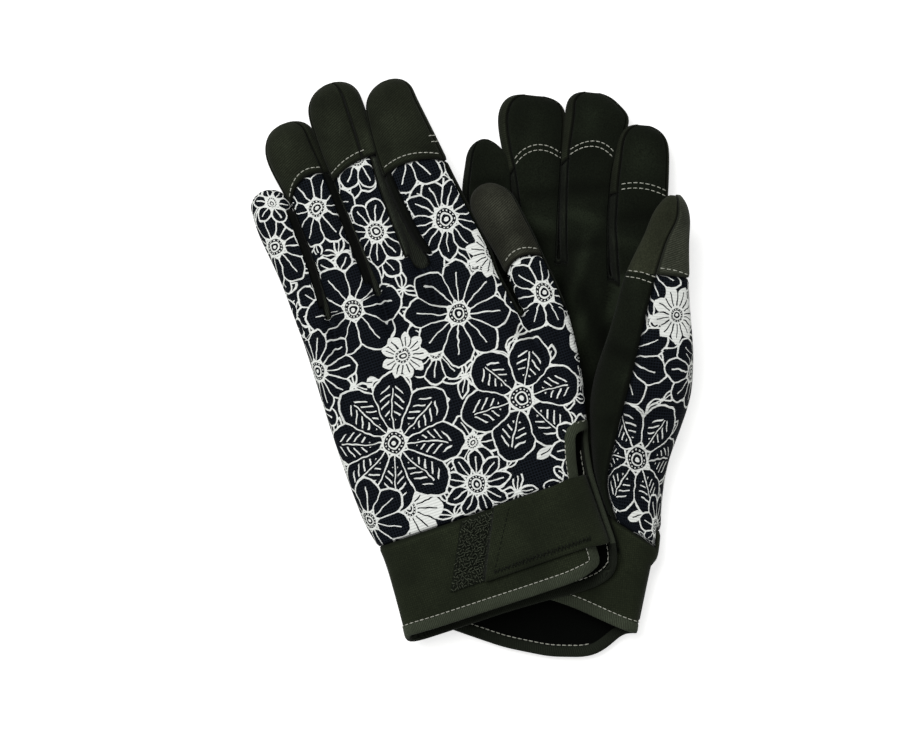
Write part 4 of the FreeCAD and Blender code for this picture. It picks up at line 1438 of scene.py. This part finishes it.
    # heart: two rings, a dot and a circle of beads
    innerReach, beadReach, dotReach = [addNode(tree, "Math MULTIPLY", heart, f) for f in printed["rings"]]
    inHeart = addNode(tree, "Math LESS_THAN", reach, heart)
    outerRing = addNode(tree, "Math COMPARE", reach, heart, line * 1.2)
    innerRing = addNode(tree, "Math COMPARE", reach, innerReach, line * 0.9)
    dot = addNode(tree, "Math LESS_THAN", reach, dotReach)
    beadAngle = addNode(tree, "Math MULTIPLY", turned, printed["beads"] / (2 * math.pi))
    beadPlace = addNode(tree, "Math FRACT", beadAngle)
    beadOn = addNode(tree, "Math LESS_THAN", beadPlace, printed["beadShare"])
    beadBand = addNode(tree, "Math COMPARE", reach, beadReach, line * 0.7)
    beads = addNode(tree, "Math MULTIPLY", beadOn, beadBand)
    rings = addNode(tree, "Math MAXIMUM", outerRing, innerRing)
    centre = addNode(tree, "Math MAXIMUM", rings, addNode(tree, "Math MAXIMUM", dot, beads))
    # the flower hides what lies below it
    notHeart = addNode(tree, "Math SUBTRACT", 1.0, inHeart)
    petalPart = addNode(tree, "Math MULTIPLY", (petals, "Result"), notHeart)
    ink = addNode(tree, "Math MAXIMUM", petalPart, centre)
    bare = addNode(tree, "Math SUBTRACT", 1.0, addNode(tree, "Math MAXIMUM", inside, inHeart))
    kept = addNode(tree, "Math MULTIPLY", (given, "Below"), bare)
    addNode(tree, "NodeGroupOutput", addNode(tree, "Math MAXIMUM", kept, ink))
    return tree


# ribbed polyester, woven and screen printed: a matt near-black ground under crisp off-white line flowers
printedCloth, tree, shader = newMaterial("ribbedPolyesterPrinted", 0.8, Specular_IOR_Level=0.06)
cloth = addNode(tree, "Attribute", attribute_name="cloth"), "Vector"
offsets = []
for scale, detail, reach in (printed["drift"], printed["shake"]):
    noise = addNode(tree, "TexNoise", {"Vector": cloth, "Scale": scale, "Detail": detail})
    shift = addNode(tree, "VectorMath SUBTRACT", (noise, "Color"), (0.5, 0.5, 0.5))
    offsets.append(addNode(tree, "VectorMath SCALE", {0: shift, "Scale": reach}))
drawn = addNode(tree, "VectorMath ADD", cloth, addNode(tree, "VectorMath ADD", *offsets))
flower = inkFlower()
ink = None
for cell, petals, width, heart, size, filled in printed["scatter"]:
    where = {"Vector": drawn, "Scale": 1 / cell, "Randomness": 0.75}
    scatter = addNode(tree, "TexVoronoi", where, voronoi_dimensions="2D")
    draws = addNode(tree, "SeparateColor", (scatter, "Color"))
    turn = addNode(tree, "Math MULTIPLY", (draws, "Red"), 6.28)
    extra = addNode(tree, "Math FLOOR", addNode(tree, "Math MULTIPLY", (draws, "Green"), 3.99))
    count = addNode(tree, "Math ADD", extra, petals)
    chosen = addNode(tree, "Math GREATER_THAN", (draws, "Blue"), filled)
    radius = addNode(tree, "Math MULTIPLY_ADD", (draws, "Green"), cell * 0.16, cell * size)
    given = {"Centre": (scatter, "Position"), "Radius": radius, "Petals": count, "Width": width}
    given |= {"Heart": heart, "Turn": turn, "Filled": chosen, "Below": ink, "Cloth": drawn}
    ink = addNode(tree, "Group", given, node_tree=flower)
for u, v, *facts in printed["flowers"]:
    given = dict(zip(("Radius", "Petals", "Width", "Heart", "Turn", "Filled"), facts))
    given |= {"Centre": (u, v, 0), "Below": ink, "Cloth": drawn}
    ink = addNode(tree, "Group", given, node_tree=flower)
weave = bands(printed["rib"], 0.4, 1.0, 0.4)
ribs = addNode(tree, "TexWave", {"Vector": cloth, **weave}, bands_direction="Y")
wales = addNode(tree, "TexWave", {"Vector": cloth, **weave}, bands_direction="X")
grain = addNode(tree, "TexNoise", {"Vector": cloth, "Scale": 1.6, "Detail": 3.0}), "Fac"
net = addNode(tree, "Math MAXIMUM", (ribs, "Fac"), (wales, "Fac"))
lit = addNode(tree, "Math MULTIPLY", addNode(tree, "Math POWER", net, 3.0), grain)
ground = addNode(tree, "MixRGB", lit, colour(printed["ground"]), colour(printed["groundHigh"]))
fade = addNode(tree, "Math MULTIPLY_ADD", grain, 0.25, 0.8)
inked = addNode(tree, "MixRGB", addNode(tree, "Math MULTIPLY", ink, fade), ground, colour(printed["ink"]))
# painted shade: near seams the print is dimmed to the dark ground
folds = addNode(tree, "Attribute", attribute_name="fold"), "Fac"
seam = {"From Min": sewing["seamShade"], "From Max": -0.2, "To Min": 0.8, "To Max": 0.0}
seamPaintedShadeMix = addNode(tree, "MapRange", {"Value": folds, **seam})
base = addNode(tree, "MixRGB", seamPaintedShadeMix, inked, colour(printed["ground"]))
finishWith(tree, shader, base, (ribs, "Fac"), 0.16)


mottleAndPaintedLight = {
    "span": {"From Min": 0.3, "From Max": 0.7, "To Min": 0.35, "To Max": 1.0},  # of the slow mottle
    "paintedFoldLight": 2.8,  # painted highlight: how many times lighter a fold raised by 1 mm is painted; seams and hollows are painted darker the same way
    "sheenRoughness": 0.5, "specular": 0.08,
}


def clothMaterial(name, low, high, roughness, sheen, weave, depth, mottle=0.06):
    # weave(tree, cloth) returns the fine pattern; a slow mottle keeps the colour from lying flat, and the fold
    # attribute paints light and shade over them
    material, tree, shader = newMaterial(
        name, roughness, Sheen_Weight=sheen, Sheen_Roughness=mottleAndPaintedLight["sheenRoughness"],
        Specular_IOR_Level=mottleAndPaintedLight["specular"],
    )
    cloth = addNode(tree, "Attribute", attribute_name="cloth"), "Vector"
    pattern = weave(tree, cloth)
    slow = addNode(tree, "TexNoise", {"Vector": cloth, "Scale": mottle, "Detail": 4.0}), "Fac"
    blotch = addNode(tree, "MapRange", {"Value": slow, **mottleAndPaintedLight["span"]})
    blotched = addNode(tree, "Math MULTIPLY", pattern, blotch, use_clamp=True)
    folds = addNode(tree, "Attribute", attribute_name="fold"), "Fac"
    lighter = addNode(tree, "Math POWER", mottleAndPaintedLight["paintedFoldLight"], folds)  # painted shade on seams and hollows, painted highlight on raised folds
    factor = addNode(tree, "Math MULTIPLY", blotched, lighter, use_clamp=True)
    finishWith(tree, shader, addNode(tree, "MixRGB", factor, colour(low), colour(high)), pattern, depth)
    return material


def twill(tree, cloth):
    # diagonal ridges 0.9 mm apart (0.7 in the cloth), broken along their length
    slanted = {"Vector": cloth, "Angle": math.radians(-24)}
    turned = addNode(tree, "VectorRotate", slanted, rotation_type="Z_AXIS")
    ridges = addNode(tree, "TexWave", {"Vector": turned, **bands(0.9, 1.6, 2.0, 1.6)}, bands_direction="Y")
    fuzz = addNode(tree, "TexNoise", {"Vector": cloth, "Scale": 1.4, "Detail": 4.0})
    soft = addNode(tree, "Math MULTIPLY_ADD", (ridges, "Fac"), 0.6, 0.25)
    return addNode(tree, "Math MULTIPLY", soft, (fuzz, "Fac"))


def nap(tree, cloth):
    # short brushed fibres with no direction
    fine = addNode(tree, "TexNoise", {"Vector": cloth, "Scale": 1.9, "Detail": 6.0, "Roughness": 0.7})
    return addNode(tree, "MapRange", {"Value": (fine, "Fac"), "From Min": 0.3, "From Max": 0.72})


def knit(tree, cloth):
    # upright wales crossed by courses, 0.95 mm apart (0.6 in the cloth, too fine to show)
    stitches = {"Vector": cloth, **bands(0.95, 1.0, 2.0, 1.0)}
    wales = addNode(tree, "TexWave", stitches, bands_direction="X")
    courses = addNode(tree, "TexWave", stitches, bands_direction="Y")
    both = addNode(tree, "Math MULTIPLY", (wales, "Fac"), (courses, "Fac"))
    soft = addNode(tree, "Math MULTIPLY_ADD", both, 0.35, 0.2)
    return addNode(tree, "Math MULTIPLY", soft, nap(tree, cloth))


def ribbing(pitch):
    # upright ribs this many millimetres apart
    def pattern(tree, cloth):
        lines = {"Vector": cloth, **bands(pitch, 0.6, 2.0, 1.0)}
        ridges = addNode(tree, "TexWave", lines, bands_direction="X")
        fuzz = addNode(tree, "TexNoise", {"Vector": cloth, "Scale": 1.1, "Detail": 4.0})
        return addNode(tree, "Math MULTIPLY", (ridges, "Fac"), (fuzz, "Fac"))
    return pattern


# cotton and nylon twill, woven: matt olive charcoal with fine slanting lines
twillCap = clothMaterial("cottonNylonTwill", "#090b05", "#3a4030", 0.85, 0.04, twill, 0.14)
twillPale = clothMaterial("cottonNylonTwillPale", "#171a12", "#676b5b", 0.85, 0.05, twill, 0.14)
twillThumb = clothMaterial("cottonNylonTwillLight", "#0d0d08", "#505245", 0.85, 0.04, twill, 0.14)
fingerRibs, tapeRibs, twist = ribbing(0.9), ribbing(0.8), ribbing(0.7)
# stretch fabric, knitted: nearly black, ribbed along the finger
stretchRight = clothMaterial("knittedStretchFabricDull", "#080a07", "#30352a", 0.85, 0.03, fingerRibs, 0.1)
stretchSide = clothMaterial("knittedStretchFabric", "#020302", "#161911", 0.85, 0.03, fingerRibs, 0.1)
stretchWeb = clothMaterial("knittedStretchFabricLight", "#0d0f0a", "#4a5044", 0.85, 0.03, fingerRibs, 0.1)
# synthetic suede, brushed microfibre: very dark green grey with a soft nap
suede = clothMaterial("brushedMicrofibreSuede", "#040602", "#1e2419", 0.9, 0.03, nap, 0.1, 0.035)
suedeThumb = clothMaterial("brushedMicrofibreSuedeLight", "#13150d", "#3c4030", 0.9, 0.03, nap, 0.08, 0.05)
# brushed fleece lining, painted black as painted shade: the shadow inside the glove
liningPaintedShade = clothMaterial("brushedFleeceLiningPaintedShade", "#000100", "#040604", 0.95, 0.0, nap, 0.1, 0.05)
# neoprene foam faced with a fine knit, cut from sheet: smooth and matt
neoprene = clothMaterial("knitFacedNeoprene", "#12160d", "#4f583f", 0.88, 0.03, knit, 0.1)
# polyester bias tape, woven with cross ribs: a shade lighter than the band
biasTape = clothMaterial("wovenBiasTape", "#262a20", "#5a6351", 0.8, 0.03, tapeRibs, 0.08)
# the same tape painted darker, as painted shade on its downward side
biasTapePaintedShade = clothMaterial("wovenBiasTapePaintedShade", "#0e110b", "#343a2e", 0.8, 0.03, tapeRibs, 0.08)
# brushed nylon loops on a woven tape: matt, each a little lighter or darker
loopYarn = clothMaterial("brushedNylonLoops", "#0a0c08", "#646c58", 0.8, 0.04, nap, 0.05, 0.5)
loopTape = clothMaterial("wovenNylonTape", "#0c0f0a", "#23281e", 0.9, 0.0, nap, 0.05, 0.5)
# moulded nylon hooks: stiffer and a little glossy
hookNylon = clothMaterial("mouldedNylonHooks", "#090b08", "#20241c", 0.5, 0.0, nap, 0.03, 0.5)
# polyester sewing thread, twisted: pale grey green with a slight shine; on the tab a dark thread, made darker
# still as painted shade for the shadow it lies in
paleThread = clothMaterial("twistedPolyesterThread", "#9a9c90", "#e4e4d8", 0.55, 0.0, twist, 0.06, 0.3)
darkThreadAndShade = clothMaterial("twistedPolyesterThreadDark", "#0b0d09", "#2b3025", 0.6, 0.0, twist, 0.06, 0.3)

shades = {  # panels coloured lighter or darker than the rest of their kind
    "left_thumb_cap": twillThumb, "right_thumb_cap": twillPale, "right_thumb_tip_patch": suedeThumb,
    "left_middle_fourchettes": stretchWeb,
    **{"right_%s_fourchettes" % name: stretchRight for name in fingerNames},
}
kinds = {
    "print": (printedCloth, "printed_cloth"), "cap": (twillCap, "twill_cap"),
    "side": (stretchSide, "stretch_side"), "palm": (suede, "synthetic_suede"),
    "band": (neoprene, "cuff_neoprene"),
}
for piece, node in clothPieces:
    material, slotName = kinds[kindOf(node)]
    piece.data.materials[0] = shades.get(node, material)
    # the inside faces take the black painted shade
    piece.data.materials[1] = liningPaintedShade
for piece in bound:
    piece.data.materials[0] = biasTape
    # painted shade where the tape faces down
    piece.data.materials[1] = biasTapePaintedShade
for pieces, material, slotName in (
    (threads, paleThread, "binding_tape"), (darkThreads, darkThreadAndShade, "binding_tape"),
    (closures["tab"], neoprene, "cuff_neoprene"), (closures["patch"], loopTape, "loop_pile"),
    (closures["pile"], loopYarn, "loop_pile"), (closures["hooks"], hookNylon, "hook_tape"),
    (webs["left"], stretchWeb, "stretch_side"), (webs["right"], stretchSide, "stretch_side"),
):
    for piece in pieces:
        piece.data.materials.append(material)
print("materials made:", len(bpy.data.materials))

# table, light and camera, in metres

studio = {
    "lamp": 21.0, "lampSize": 1.1, "lampAt": (-0.55, 0.7, 1.5), "world": 0.42,
    "table": 3,  # half its side
    "board": ("#f2f2f0", "#f8f8f6"), "glow": 0.58,
    "cameraAt": (-0.00406, -0.00189, 2.4),
    "across": 0.3947, "atHeight": 0.015,  # how much of the gloves' plane the picture takes in
    "sensor": 36,
}

side = studio["table"]
mesh = bpy.data.meshes.new("whiteTable")
corners = [(-side, -side, 0), (side, -side, 0), (side, side, 0), (-side, side, 0)]
mesh.from_pydata(corners, [], [(0, 1, 2, 3)])
table = bpy.data.objects.new("whiteTable", mesh)
bpy.context.scene.collection.objects.link(table)
# board, painted matt white; what the eye sees directly is raised a little so that it reads as white
board, tree, shader = newMaterial("mattWhiteBoard", 0.9, Specular_IOR_Level=0.1)
grain = addNode(tree, "TexNoise", {"Scale": 40.0, "Detail": 2.0})
base = addNode(tree, "MixRGB", (grain, "Fac"), *[colour(code) for code in studio["board"]])
tree.links.new(base.outputs[0], shader.inputs["Base Color"])
path = addNode(tree, "LightPath")
seen = addNode(tree, "Math MAXIMUM", (path, "Is Camera Ray"), (path, "Is Glossy Ray"))
seen = addNode(tree, "Math MAXIMUM", seen, (path, "Is Transmission Ray"))
glow = addNode(tree, "Math MULTIPLY", seen, studio["glow"])
shader.inputs["Emission Color"].default_value = (1, 1, 1, 1)
tree.links.new(glow.outputs[0], shader.inputs["Emission Strength"])
mesh.materials.append(board)

world = bpy.data.worlds.new("softRoom")
bpy.context.scene.world = world
world.use_nodes = True
world.node_tree.nodes["Background"].inputs["Color"].default_value = (1, 1, 1, 1)
world.node_tree.nodes["Background"].inputs["Strength"].default_value = studio["world"]
lamp = bpy.data.lights.new("softbox", "AREA")
lamp.energy = studio["lamp"]
lamp.size = studio["lampSize"]
softbox = bpy.data.objects.new("softbox", lamp)
softbox.location = studio["lampAt"]
softbox.rotation_euler = (-softbox.location).to_track_quat("-Z", "Y").to_euler()
bpy.context.scene.collection.objects.link(softbox)

camera = bpy.data.cameras.new("overhead")
camera.sensor_width = studio["sensor"]
camera.lens = studio["sensor"] * (studio["cameraAt"][2] - studio["atHeight"]) / studio["across"]
overhead = bpy.data.objects.new("overhead", camera)
overhead.location = studio["cameraAt"]
bpy.context.scene.collection.objects.link(overhead)
bpy.context.scene.camera = overhead
bpy.context.scene.view_settings.view_transform = "Standard"
print("scene lit")
